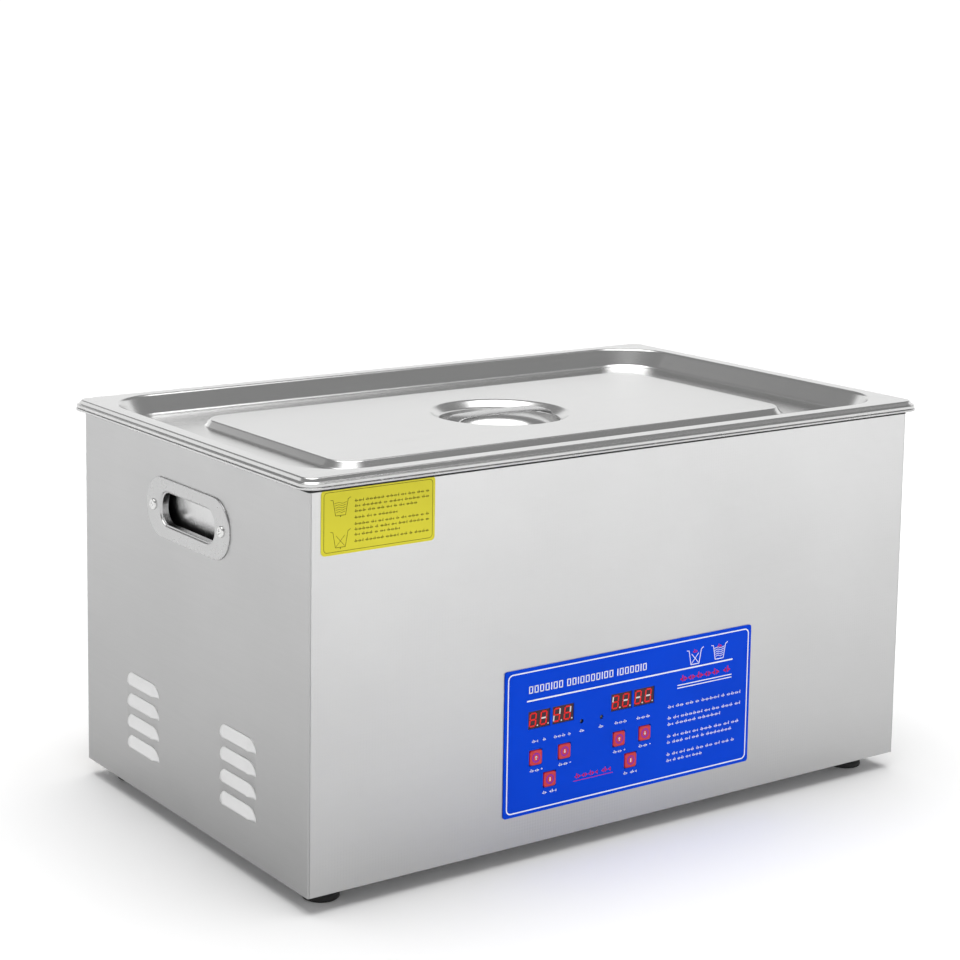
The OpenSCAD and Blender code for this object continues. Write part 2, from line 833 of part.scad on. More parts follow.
module power_switch_housing() {
    color(black) rig() translate([switch_x, 0, service_z]) difference() {
        union() {
            block([-switch_w / 2 - 1.5, hd, -switch_hh / 2 - 1.5],
                  [switch_w / 2 + 1.5, hd + 1.6, switch_hh / 2 + 1.5]);
            block([-switch_w / 2 + 0.2, hd - 18, -switch_hh / 2 + 0.2],
                  [switch_w / 2 - 0.2, hd, switch_hh / 2 - 0.2]);
        }
        block([-switch_w / 2 + 2, hd - 10, -switch_hh / 2 + 2], [switch_w / 2 - 2, hd + 2, switch_hh / 2 - 2]);
        translate([0, hd - 1.5, 0]) rod_x(1.5, -switch_w / 2 + 0.8, switch_w / 2 - 0.8);
    }
}

// The rocker at rest, tilted to its off side
module power_switch_rocker() {
    half = switch_hh / 2 - 3.2;
    color([0.60, 0.05, 0.06]) rig() translate([switch_x, hd - 1.5, service_z]) rotate([rocker_tilt, 0, 0]) union() {
        rotate([90, 0, 90]) translate([0, 0, -switch_w / 2 + 2.4]) linear_extrude(switch_w - 4.8)
            polygon([[-3, -half], [4, -half], [2.6, 0], [4, half], [-3, half]]);
        rod_x(1.45, -switch_w / 2 + 1.2, switch_w / 2 - 1.2);
    }
}

module fuse_holder() {
    color(black) rig() translate([fuse_x, 0, service_z]) union() {
        rod_y(6, hd - 24, hd);
        rod_y(8, hd, hd + 2);
        rod_y(6.4, hd + 2, hd + 8);
    }
}

// Drain --------------------------------------------------------------------

module drain_strainer() {
    color(steel) rig() translate([-drain_x, drain_y, 0]) difference() {
        union() {
            translate([0, 0, tank_floor]) cylinder(r = 14, h = 1.4);
            translate([0, 0, tank_under - 10]) cylinder(r = pipe_r - 1.2, h = 10 + tank_t);
        }
        translate([0, 0, tank_under - 11]) cylinder(r = pipe_r - 2.4, h = 11 + tank_t - 0.6);
        for (a = [0 : 60 : 300]) rotate([0, 0, a]) translate([4, 0, tank_under]) cylinder(r = 1.3, h = 6);
        translate([0, 0, tank_under]) cylinder(r = 1.3, h = 6);
    }
}

// Elbow under the tank and the straight pipe through the rear panel
module drain_pipe() {
    color(steel) rig() difference() {
        drain_route(pipe_r, 0);
        drain_route(pipe_r - 1.1, 1);
    }
}

// The pipe's run at one radius; its ends are drawn longer by past
module drain_route(r, past) {
    translate([-drain_x, drain_y, drain_z + pipe_bend])
        cylinder(r = r, h = tank_under - drain_z - pipe_bend - 0.2 + past);
    translate([-drain_x, drain_y + pipe_bend, drain_z + pipe_bend]) rotate([90, 0, 90]) rotate([0, 0, 180])
        rotate_extrude(angle = 90) translate([pipe_bend, 0]) circle(r);
    translate([-drain_x, 0, drain_z]) rod_y(r, drain_y + pipe_bend, hd + 10 + past);
}

// Ball valve outside the rear panel, with its outlet tail
module valve_body() {
    color(steel) rig() translate([-drain_x, 0, drain_z]) difference() {
        union() {
            translate([0, hd, 0]) rotate([-90, 0, 0]) cylinder(r = 15, h = 13, $fn = 6);
            rod_y(13, hd + 13, valve_y + 14);
            translate([0, valve_y + 14, 0]) rotate([-90, 0, 0]) cylinder(r = 13, h = 6, $fn = 6);
            rod_y(8.6, valve_y + 20, rear_limit);
            translate([0, valve_y, 0]) cylinder(r = 6, h = 18);
        }
        rod_y(pipe_r + 0.05, hd, hd + 10);
        rod_y(valve_bore_r, hd + 9, rear_limit + 1);
        translate([0, valve_y, 0]) sphere(ball_r + 0.5);
        rod_y(ball_r - 0.5, valve_y - 9, valve_y + 9);
        translate([0, valve_y, 0]) cylinder(r = 3.05, h = 19);
    }
}

// Soft rings on both sides of the ball
module valve_seats() {
    color([0.95, 0.95, 0.93]) rig() for (s = [0, 1])
        translate([-drain_x, valve_y, drain_z]) mirror([0, s, 0]) difference() {
            rod_y(ball_r - 0.6, 6.4, 8.9);
            rod_y(valve_bore_r, 5, 10);
            sphere(ball_r + 0.1);
        }
}

// The ball with its bore across the flow, which is the closed position
module valve_ball() {
    color(steel) rig() translate([-drain_x, valve_y, drain_z]) union() {
        difference() {
            sphere(ball_r);
            rod_x(valve_bore_r, -10, 10);
        }
        translate([0, 0, ball_r - 1.5]) cylinder(r = 3, h = stem_top - drain_z - ball_r + 1.5);
    }
}

// Lever on the stem, lying across the flow when closed
module valve_lever() {
    color([0.75, 0.08, 0.08]) rig() translate([-drain_x, valve_y, 0]) difference() {
        union() {
            translate([0, 0, drain_z + 19]) cylinder(r = 7, h = 5);
            block([0, -5, drain_z + 21], [52, 5, drain_z + 23.5]);
            translate([52, 0, drain_z + 21]) cylinder(r = 5, h = 2.5);
        }
        translate([0, 0, drain_z]) cylinder(r = 3.05, h = 40);
    }
}

// Lid ----------------------------------------------------------------------

// The pressed sheet: flange with its stepped skirt, well wall, groove, raised panel and bowl
module lid() {
    edge = rim_w / 2;
    skirt = [[edge - 8, total_h], [edge - 5.2, total_h], [edge - 3.4, total_h - 0.8], [edge - 2.4, total_h - 2.4],
             [edge - 1.2, total_h - 3.1], [edge - 0.6, total_h - 4], [edge - 0.6, rim_top + rest_gap]];
    well = concat([[well_x + 5, total_h]],
        arc([well_x + 3, total_h - 3], 3, 90, 180 - well_angle, 3),
        arc([groove_x - 4, groove_z + 4], 4, -well_angle, -90, 4),
        [[groove_x - 6, groove_z]]);
    step = [[panel_foot + 3, groove_z], [panel_foot, groove_z], [panel_x, panel_z], [panel_x - 3, panel_z]];
    well_centre = well_x - well_corner;
    panel_centre = panel_x - panel_corner;
    color(steel) rig() union() {
        ring_sweep(edge - 12, sheet_outline(skirt, lid_t));
        ring_plate(edge - 7, 5, well_x + 4, well_corner + 4, total_h - lid_t, lid_t);
        ring_sweep(well_centre, sheet_outline(reverse_path(well), lid_t));
        ring_plate(groove_x - 5, groove_x - 5 - well_centre, panel_foot + 2, panel_foot + 2 - panel_centre,
                   groove_z - lid_t, lid_t);
        ring_sweep(panel_centre, sheet_outline(reverse_path(step), lid_t));
        difference() {
            round_plate(2 * (panel_x - 2), 2 * (panel_x - 2 - rim_skew), panel_corner - 2, panel_z - lid_t, lid_t);
            translate([0, 0, panel_z - lid_t - 1]) cylinder(r = bowl_r + 7, h = lid_t + 2);
        }
        rotate_extrude() polygon(sheet_outline(reverse_path(bowl_path()), lid_t));
    }
}

// Inside of the handle bowl, from its rolled edge to its middle
function bowl_path() = concat(
    [[bowl_r + 8, panel_z], [bowl_r + 6, panel_z], [bowl_r + 1, panel_z - 2.4], [bowl_r, panel_z - 4]],
    arc([bowl_r - 13, bowl_floor + 12], 12, 0, -90, 6), [[0, bowl_floor]]);

// The strap across the handle bowl
module lid_handle() {
    end = sqrt(bowl_r * bowl_r - bar_w * bar_w / 4) - 0.2;
    top = concat([[-end, panel_z - 3.5]],
        [for (i = [0 : 8]) let (u = -1 + i / 4) [u * (end - 4), panel_z + 1.5 - 3 * u * u]],
        [[end, panel_z - 3.5]]);
    color(steel) rig() rotate([90, 0, 0]) translate([0, 0, -bar_w / 2])
        linear_extrude(bar_w) polygon(sheet_outline(top, 1.6));
}

// Basket -------------------------------------------------------------------

// The basket's mesh walls and floor, as thin closed sheets
module basket_tray() {
    color(dull_steel) rig() difference() {
        round_plate(basket_l, basket_w, 20, basket_floor, basket_h);
        round_plate(basket_l - 2 * basket_t, basket_w - 2 * basket_t, 20 - basket_t, basket_floor + basket_t, basket_h);
    }
}

// Rim wire, end handles and legs
module basket_frame() {
    x = basket_l / 2 + wire_r + 0.1;
    y = basket_w / 2 + wire_r + 0.1;
    top = basket_floor + basket_h - wire_r;
    corner = 20;
    grip = 60;
    color(steel) rig() union() {
        for (s = [-1, 1]) {
            translate([0, s * y, top]) rod_x(wire_r, -x + corner, x - corner);
            translate([s * x, 0, top]) rod_y(wire_r, -y + corner, y - corner);
            translate([s * x, 0, top + 14]) rod_y(grip_wire_r, -grip, grip);
            for (e = [-1, 1]) {
                translate([s * x, e * grip, top]) cylinder(r = grip_wire_r, h = 14);
                translate([s * x, e * grip, top + 14]) sphere(wire_r);
                translate([s * (x - 50), e * (y - 40), tank_floor + 0.4]) cylinder(r = 4, h = basket_floor - tank_floor - 0.4);
            }
        }
        for (q = [0 : 3])
            translate([(q == 0 || q == 3 ? 1 : -1) * (x - corner), (q < 2 ? 1 : -1) * (y - corner), top])
                rotate([0, 0, 90 * q]) rotate_extrude(angle = 90) translate([corner, 0]) circle(wire_r);
    }
}

front_panel();
left_panel();
right_panel();
rear_panel();
base_plate();
casing_screws();
foot_front_left();
foot_front_right();
foot_rear_left();
foot_rear_right();
foot_screws();
tank();
rim_gasket();
handle_plate_left();
handle_plate_right();
handle_screws();
control_overlay();
care_label();
control_board();
control_standoffs();
tact_switches();
display_temperature();
display_time();
indicator_leds();
generator_board();
generator_standoffs();
heat_sink();
power_transistors();
output_transformer();
filter_capacitors();
ribbon_cable();
transducer_heads();
piezo_rings();
transducer_masses();
transducer_wires();
heater_pads();
temperature_sensor();
fan_frame();
fan_guard();
mains_inlet();
power_switch_housing();
fuse_holder();
drain_strainer();
drain_pipe();
valve_body();
valve_seats();
lid();
lid_handle();
basket_tray();
basket_frame();
key_temp_up();
key_temp_down();
key_heat_power();
key_time_up();
key_time_down();
key_timer_power();
power_switch_rocker();
fan_rotor();
valve_ball();
valve_lever();
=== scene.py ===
"""Looks of a bench-top ultrasonic cleaner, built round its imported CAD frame.

The casing, tank, lid, basket, control panel and rear fittings are each a class that holds its
sizes in millimetres, builds its meshes with bmesh operators and gives them their finishes.
"""

import logging
import math
from dataclasses import dataclass
from enum import Enum
from typing import Iterable, Sequence

import bmesh
import bpy
from mathutils import Matrix, Vector


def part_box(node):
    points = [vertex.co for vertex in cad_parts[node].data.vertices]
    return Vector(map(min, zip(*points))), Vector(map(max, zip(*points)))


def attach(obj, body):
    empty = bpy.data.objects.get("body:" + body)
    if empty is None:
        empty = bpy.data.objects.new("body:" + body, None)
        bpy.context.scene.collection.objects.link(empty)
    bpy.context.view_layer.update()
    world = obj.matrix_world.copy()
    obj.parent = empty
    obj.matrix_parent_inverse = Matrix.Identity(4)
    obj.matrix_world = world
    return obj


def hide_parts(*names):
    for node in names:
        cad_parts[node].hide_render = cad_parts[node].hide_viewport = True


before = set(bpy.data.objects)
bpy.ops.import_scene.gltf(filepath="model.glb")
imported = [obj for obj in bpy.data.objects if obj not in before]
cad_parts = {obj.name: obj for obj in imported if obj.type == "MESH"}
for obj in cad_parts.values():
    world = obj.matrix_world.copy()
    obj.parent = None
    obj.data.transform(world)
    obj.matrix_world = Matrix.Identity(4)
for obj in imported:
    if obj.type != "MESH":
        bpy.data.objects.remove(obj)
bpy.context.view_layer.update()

LOG = logging.getLogger("ultrasonic_cleaner")
MM = 0.001
WELD = 2e-6
SMOOTH_ANGLE = math.radians(34)

Point = tuple[float, float]
Path = list[Point]


class Facing(Enum):
    """Which way a flat piece looks: its own x, y and outward z as world directions."""

    TOP = ((1, 0, 0), (0, 1, 0), (0, 0, 1))
    FRONT = ((1, 0, 0), (0, 0, 1), (0, -1, 0))
    REAR = ((-1, 0, 0), (0, 0, 1), (0, 1, 0))
    LEFT = ((0, -1, 0), (0, 0, 1), (-1, 0, 0))
    RIGHT = ((0, 1, 0), (0, 0, 1), (1, 0, 0))

    def at(self, x: float, y: float, z: float) -> Matrix:
        """Matrix from the piece's own axes to a place in the frame.

        Args:
            x: World x of the piece's origin, in metres.
            y: World y of the piece's origin, in metres.
            z: World z of the piece's origin, in metres.

        Returns:
            The 4 x 4 matrix.
        """
        matrix = Matrix([Vector(axis) for axis in self.value]).transposed().to_4x4()
        matrix.translation = (x, y, z)
        return matrix


# Mesh helpers ---------------------------------------------------------------


def rounded(points: Sequence[tuple[float, float, float]], steps: int = 5) -> Path:
    """Rounds the corners of a polyline with tangent arcs.

    Args:
        points: Corners as (x, y, radius); a radius of 0 leaves the corner sharp.
        steps: Straight pieces in each arc.

    Returns:
        The points of the rounded line.
    """
    path: Path = []
    last = len(points) - 1
    for index, (x, y, radius) in enumerate(points):
        here = Vector((x, y))
        if radius == 0 or index in (0, last):
            path.append((x, y))
            continue
        back = (Vector(points[index - 1][:2]) - here).normalized()
        ahead = (Vector(points[index + 1][:2]) - here).normalized()
        half = back.angle(ahead) / 2
        centre = here + (back + ahead).normalized() * (radius / math.sin(half))
        start = here + back * (radius / math.tan(half)) - centre
        turn = start.angle_signed(here + ahead * (radius / math.tan(half)) - centre)
        for step in range(steps + 1):
            angle = -turn * step / steps
            arm = Matrix.Rotation(angle, 2) @ start
            path.append((centre.x + arm.x, centre.y + arm.y))
    return path


def scaled(path: Iterable[Point]) -> Path:
    """The same points in metres."""
    return [(a * MM, b * MM) for a, b in path]


def sweep_round_rect(bm: bmesh.types.BMesh, profile: Path, corner: Point, steps: int) -> None:
    """Sweeps a profile round a rectangle with round corners, in the xy plane.

    Args:
        bm: Mesh that takes the surface.
        profile: Points (distance out from the corner centres, z), in metres.
        corner: Half distances between the corner centres along x and y, in metres.
        steps: Segments in each quarter turn.
    """
    cx, cy = corner
    verts = [bm.verts.new((cx + out, cy, z)) for out, z in profile]
    geom: list = verts + [bm.edges.new(pair) for pair in zip(verts, verts[1:])]
    centres = ((cx, cy), (-cx, cy), (-cx, -cy), (cx, -cy))
    runs = ((-2 * cx, 0, 0), (0, -2 * cy, 0), (2 * cx, 0, 0), (0, 2 * cy, 0))
    for (x, y), run in zip(centres, runs):
        spun = bmesh.ops.spin(bm, geom=geom, cent=(x, y, 0), axis=(0, 0, 1), dvec=(0, 0, 0),
                              angle=math.pi / 2, steps=steps, use_merge=False, use_duplicate=False)
        geom = spun["geom_last"]
        if Vector(run).length < WELD:
            continue
        edges = [g for g in geom if isinstance(g, bmesh.types.BMEdge)]
        grown = bmesh.ops.extrude_edge_only(bm, edges=edges)["geom"]
        moved = {g for g in grown if isinstance(g, bmesh.types.BMVert)}
        bmesh.ops.translate(bm, verts=list(moved), vec=run)
        chain = [g for g in grown if isinstance(g, bmesh.types.BMEdge) and set(g.verts) <= moved]
        geom = list(moved) + chain
    bmesh.ops.remove_doubles(bm, verts=bm.verts, dist=WELD)


def ring_loop(bm: bmesh.types.BMesh, corner: Point, out: float, z: float) -> list:
    """Open edges that lie on one loop of a swept ring.

    Args:
        bm: The mesh.
        corner: Half distances between the corner centres, in metres.
        out: Distance out from the corner centres, in metres.
        z: Height of the loop, in metres.

    Returns:
        The loop's edges.
    """
    def on_loop(vert: bmesh.types.BMVert) -> bool:
        """Tells whether a vertex lies on the loop.

        Args:
            vert: The vertex.

        Returns:
            True if it does.
        """
        dx = max(abs(vert.co.x) - corner[0], 0.0)
        dy = max(abs(vert.co.y) - corner[1], 0.0)
        return abs(math.hypot(dx, dy) - out) < 5 * WELD and abs(vert.co.z - z) < 5 * WELD

    return [e for e in bm.edges if e.is_boundary and all(on_loop(v) for v in e.verts)]


def fill_flat(bm: bmesh.types.BMesh, edges: list) -> None:
    """Fills the flat between closed lines of edges, holes left open."""
    bmesh.ops.triangle_fill(bm, use_beauty=True, use_dissolve=False, edges=edges)


def lathe(bm: bmesh.types.BMesh, profile: Path, steps: int, matrix: Matrix | None = None) -> None:
    """Spins a profile a full turn about the z axis.

    Args:
        bm: Mesh that takes the surface.
        profile: Points (radius, z), in metres.
        steps: Segments in the full turn.
        matrix: Where the turned shape goes.
    """
    part = bmesh.new()
    verts = [part.verts.new((r, 0, z)) for r, z in profile]
    edges = [part.edges.new(pair) for pair in zip(verts, verts[1:])]
    bmesh.ops.spin(part, geom=verts + edges, cent=(0, 0, 0), axis=(0, 0, 1), dvec=(0, 0, 0),
                   angle=2 * math.pi, steps=steps, use_merge=True, use_duplicate=False)
    bmesh.ops.remove_doubles(part, verts=part.verts, dist=WELD)
    bmesh.ops.recalc_face_normals(part, faces=part.faces)
    join_into(bm, part, matrix)


def join_into(bm: bmesh.types.BMesh, part: bmesh.types.BMesh, matrix: Matrix | None = None) -> None:
    """Adds one bmesh to another and frees it.

    Args:
        bm: Mesh that grows.
        part: Mesh that is added.
        matrix: Where the added mesh goes.
    """
    if matrix is not None:
        bmesh.ops.transform(part, matrix=matrix, verts=part.verts)
    mesh = bpy.data.meshes.new("joined")
    part.to_mesh(mesh)
    bm.from_mesh(mesh)
    bpy.data.meshes.remove(mesh)
    part.free()


def bevel_all(bm: bmesh.types.BMesh, width: float, segments: int = 2, angle: float = 0.6) -> None:
    """Rounds every edge that turns by more than an angle.

    Args:
        bm: The mesh.
        width: Bevel width in metres.
        segments: Faces across each bevel.
        angle: Least turn, in radians.
    """
    edges = [e for e in bm.edges if len(e.link_faces) == 2 and e.calc_face_angle(0) > angle]
    bmesh.ops.bevel(bm, geom=edges, offset=width, offset_type="OFFSET", segments=segments,
                    profile=0.5, affect="EDGES", material=-1, clamp_overlap=True)


def round_slab(bm: bmesh.types.BMesh, half: Point, radius: float, z: Point, edge: float,
               matrix: Matrix | None = None, steps: int = 6) -> None:
    """A closed slab with round corners and rounded rims.

    Args:
        bm: Mesh that takes the slab.
        half: Half sizes along x and y, in metres.
        radius: Corner radius, in metres.
        z: Lowest and highest z, in metres.
        edge: Radius of the rounded rims, in metres.
        matrix: Where the slab goes.
        steps: Segments in each corner.
    """
    part = bmesh.new()
    corner = (half[0] - radius, half[1] - radius)
    inner = radius - 2.2 * edge
    section = rounded([(inner, z[0], 0), (radius, z[0], edge), (radius, z[1], edge), (inner, z[1], 0)], 3)
    sweep_round_rect(part, section, corner, steps)
    for height in z:
        bmesh.ops.edgeloop_fill(part, edges=ring_loop(part, corner, inner, height))
    bmesh.ops.recalc_face_normals(part, faces=part.faces)
    join_into(bm, part, matrix)


def box_part(bm: bmesh.types.BMesh, low: Sequence[float], high: Sequence[float], width: float,
             segments: int = 2, matrix: Matrix | None = None) -> None:
    """A block from one corner to the other with bevelled edges.

    Args:
        bm: Mesh that takes the block.
        low: Lowest corner, in metres.
        high: Highest corner, in metres.
        width: Bevel width, in metres.
        segments: Faces across each bevel.
        matrix: Where the block goes.
    """
    part = bmesh.new()
    size = Vector(high) - Vector(low)
    bmesh.ops.create_cube(part, size=1.0)
    bmesh.ops.scale(part, vec=size, verts=part.verts)
    bmesh.ops.translate(part, vec=Vector(low) + size / 2, verts=part.verts)
    if width > 0:
        bevel_all(part, width, segments)
    join_into(bm, part, matrix)


def wire_part(bm: bmesh.types.BMesh, paths: Sequence[Sequence[Sequence[float]]], radius: float,
              closed: bool = False, sides: int = 2) -> None:
    """Round wires along straight-sided paths.

    Args:
        bm: Mesh that takes the wires.
        paths: Each wire's points, in metres.
        radius: Wire radius, in metres.
        closed: Whether each wire joins its own start.
        sides: Bevel resolution of the round section.
    """
    curve = bpy.data.curves.new("wires", "CURVE")
    curve.dimensions = "3D"
    curve.bevel_depth = radius
    curve.bevel_resolution = sides
    curve.use_fill_caps = not closed
    for points in paths:
        spline = curve.splines.new("POLY")
        spline.points.add(len(points) - 1)
        for spot, point in zip(spline.points, points):
            spot.co = (*point, 1.0)
        spline.use_cyclic_u = closed
    holder = bpy.data.objects.new("wires", curve)
    bpy.context.scene.collection.objects.link(holder)
    bpy.context.view_layer.update()
    mesh = bpy.data.meshes.new_from_object(holder.evaluated_get(bpy.context.evaluated_depsgraph_get()))
    part = bmesh.new()
    part.from_mesh(mesh)
    bpy.data.meshes.remove(mesh)
    bpy.data.objects.remove(holder)
    bpy.data.curves.remove(curve)
    bmesh.ops.remove_doubles(part, verts=part.verts, dist=WELD)
    bmesh.ops.recalc_face_normals(part, faces=part.faces)
    join_into(bm, part)


def screw_head(bm: bmesh.types.BMesh, radius: float, height: float, matrix: Matrix) -> None:
    """A domed cross-recess screw head, its underside open on the surface below.

    Args:
        bm: Mesh that takes the head.
        radius: Head radius, in metres.
        height: Dome height, in metres.
        matrix: Place of the head, whose own z points out.
    """
    part = bmesh.new()
    bmesh.ops.create_grid(part, x_segments=22, y_segments=22, size=1.0)
    arm, reach, depth = 0.13, 0.52, 0.55
    for vert in part.verts:
        u, v = vert.co.x, vert.co.y
        x, y = u * math.sqrt(1 - v * v / 2), v * math.sqrt(1 - u * u / 2)
        across = min(math.hypot(x, y), 1.0)
        z = height * (0.25 + 0.75 * math.sqrt(max(1 - across ** 2.6, 0.0)))
        if (abs(x) < arm and abs(y) < reach) or (abs(y) < arm and abs(x) < reach):
            z -= depth * height
        vert.co = (x * radius, y * radius, z)
    rim = [e for e in part.edges if e.is_boundary]
    skirt = bmesh.ops.extrude_edge_only(part, edges=rim)["geom"]
    for vert in (g for g in skirt if isinstance(g, bmesh.types.BMVert)):
        vert.co.z = 0.0
    bmesh.ops.recalc_face_normals(part, faces=part.faces)
    face_up(part)
    join_into(bm, part, matrix)


def face_up(bm: bmesh.types.BMesh, axis: Sequence[float] = (0, 0, 1)) -> None:
    """Turns an open sheet's faces so that most of its area looks along an axis.

    Args:
        bm: The sheet.
        axis: The way it should look.
    """
    bmesh.ops.recalc_face_normals(bm, faces=bm.faces)
    if sum(f.normal.dot(Vector(axis)) * f.calc_area() for f in bm.faces) < 0:
        bmesh.ops.reverse_faces(bm, faces=bm.faces)


def make_piece(bm: bmesh.types.BMesh, name: str, finish: bpy.types.Material, body: str,
               replaces: Sequence[str] = (), matrix: Matrix | None = None,
               angle: float = SMOOTH_ANGLE) -> bpy.types.Object:
    """Turns a bmesh into a finished piece that rides on a body.

    Args:
        bm: The mesh, which is freed.
        name: The piece's name.
        finish: Its material.
        body: CAD body that carries it.
        replaces: CAD nodes that it stands for.
        matrix: Its place, which goes into the mesh.
        angle: Edges that turn more than this stay sharp.

    Returns:
        The object, at the origin.
    """
    if matrix is not None:
        bmesh.ops.transform(bm, matrix=matrix, verts=bm.verts)
    mesh = bpy.data.meshes.new(name)
    bm.to_mesh(mesh)
    bm.free()
    mesh.shade_smooth()
    mesh.set_sharp_from_angle(angle=angle)
    mesh.materials.append(finish)
    piece = bpy.data.objects.new(name, mesh)
    bpy.context.scene.collection.objects.link(piece)
    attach(piece, body)
    if replaces:
        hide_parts(*replaces)
    LOG.info("%s rides on %s, %d faces", name, body, len(mesh.polygons))
    return piece


def add_wall(piece: bpy.types.Object, thickness: float) -> None:
    """Gives an open sheet its thickness behind its faces, then evens its shading.

    Args:
        piece: The sheet.
        thickness: Wall in metres.
    """
    wall = piece.modifiers.new("wall", "SOLIDIFY")
    wall.thickness = thickness
    wall.offset = -1
    wall.use_even_offset = True
    even = piece.modifiers.new("even shading", "WEIGHTED_NORMAL")
    even.keep_sharp = True
    even.weight = 80


def dress(node: str, finish: bpy.types.Material, bevel: float = 0.0) -> None:
    """Gives a CAD node its finish, and rounds its edges where asked.

    Args:
        node: CAD node name.
        finish: Its material.
        bevel: Width of the rounded edges in metres, or 0 for none.
    """
    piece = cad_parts[node]
    if not piece.material_slots:
        piece.data.materials.append(finish)
    for spot in piece.material_slots:
        spot.material = finish
    if bevel > 0:
        weld = piece.modifiers.new("weld", "WELD")
        weld.merge_threshold = 1e-5
        edge = piece.modifiers.new("edge", "BEVEL")
        edge.width = bevel
        edge.segments = 2
        edge.limit_method = "ANGLE"
        edge.angle_limit = math.radians(40)
        edge.harden_normals = False
    LOG.info("%s keeps its CAD shape in %s", node, finish.name)


# Finishes -------------------------------------------------------------------


@dataclass(frozen=True)
class SteelFinish:
    """A stainless or plated metal finish.

    Attributes:
        colour: Base reflectance.
        roughness: Mean roughness.
        grain: Noise scales along x, y and z, per metre; small along the rolling direction.
        grain_depth: Height of the grain, in metres.
        grain_sheen: How far the grain changes the roughness.
        dimple: Pitch of a pressed lozenge pattern on x and z in metres, or 0 for none.
        dimple_depth: Height of that pattern, in metres.
        mottle: How far cloudy patches darken the colour.
        fade: Painted shade and light by height: shares of the colour at the sheet's foot (darker) and 0.28 m
            above it (paler), standing in for how the studio light falls.
    """

    colour: tuple[float, float, float]
    roughness: float
    grain: tuple[float, float, float] = (40.0, 40.0, 900.0)
    grain_depth: float = 0.00001
    grain_sheen: float = 0.06
    dimple: float = 0.0
    dimple_depth: float = 0.0
    mottle: float = 0.05
    fade: tuple[float, float] = (1.0, 1.0)


@dataclass(frozen=True)
class MouldedFinish:
    """A moulded, cast or fired finish: plastic, rubber, ceramic or sleeve.

    Attributes:
        colour: Base colour.
        roughness: Mean roughness.
        grain: Texture scale, per metre.
        depth: Texture height, in metres.
        mottle: How far patches lighten the colour.
        dust: Pale dust gathered in the texture, 0 to 1.
        coat: Clear gloss on top, 0 to 1.
    """

    colour: tuple[float, float, float]
    roughness: float = 0.45
    grain: float = 2200.0
    depth: float = 0.00002
    mottle: float = 0.15
    dust: float = 0.0
    coat: float = 0.0


@dataclass(frozen=True)
class FilmFinish:
    """A printed polyester film.

    Attributes:
        colour: Film colour.
        shade: Colour of its darker patches.
        roughness: Mean roughness.
        coat: Clear gloss on top, 0 to 1.
        peel: Height of its fine surface texture, in metres.
        glow: Emission strength, for lit parts.
    """

    colour: tuple[float, float, float]
    shade: tuple[float, float, float]
    roughness: float = 0.35
    coat: float = 0.2
    peel: float = 0.000008
    glow: float = 0.0


def group_nodes(tree: bpy.types.NodeTree, groups: dict[str, list[bpy.types.Node]]) -> None:
    """Lays the nodes out in labelled frames, one frame for each effect.

    Args:
        tree: The material's nodes.
        groups: Frame label to its nodes, from left to right.
    """
    for row, (label, members) in enumerate(groups.items()):
        holder = tree.nodes.new("NodeFrame")
        holder.label = label
        holder.name = label
        for column, node in enumerate(members):
            node.location = (-1500 + column * 240, 400 - row * 420)
            node.parent = holder


def start_material(name: str) -> tuple[bpy.types.Material, bpy.types.NodeTree]:
    """An empty node material.

    Args:
        name: Its name.

    Returns:
        The material and its node tree.
    """
    material = bpy.data.materials.new(name)
    material.use_nodes = True
    material.node_tree.nodes.clear()
    return material, material.node_tree


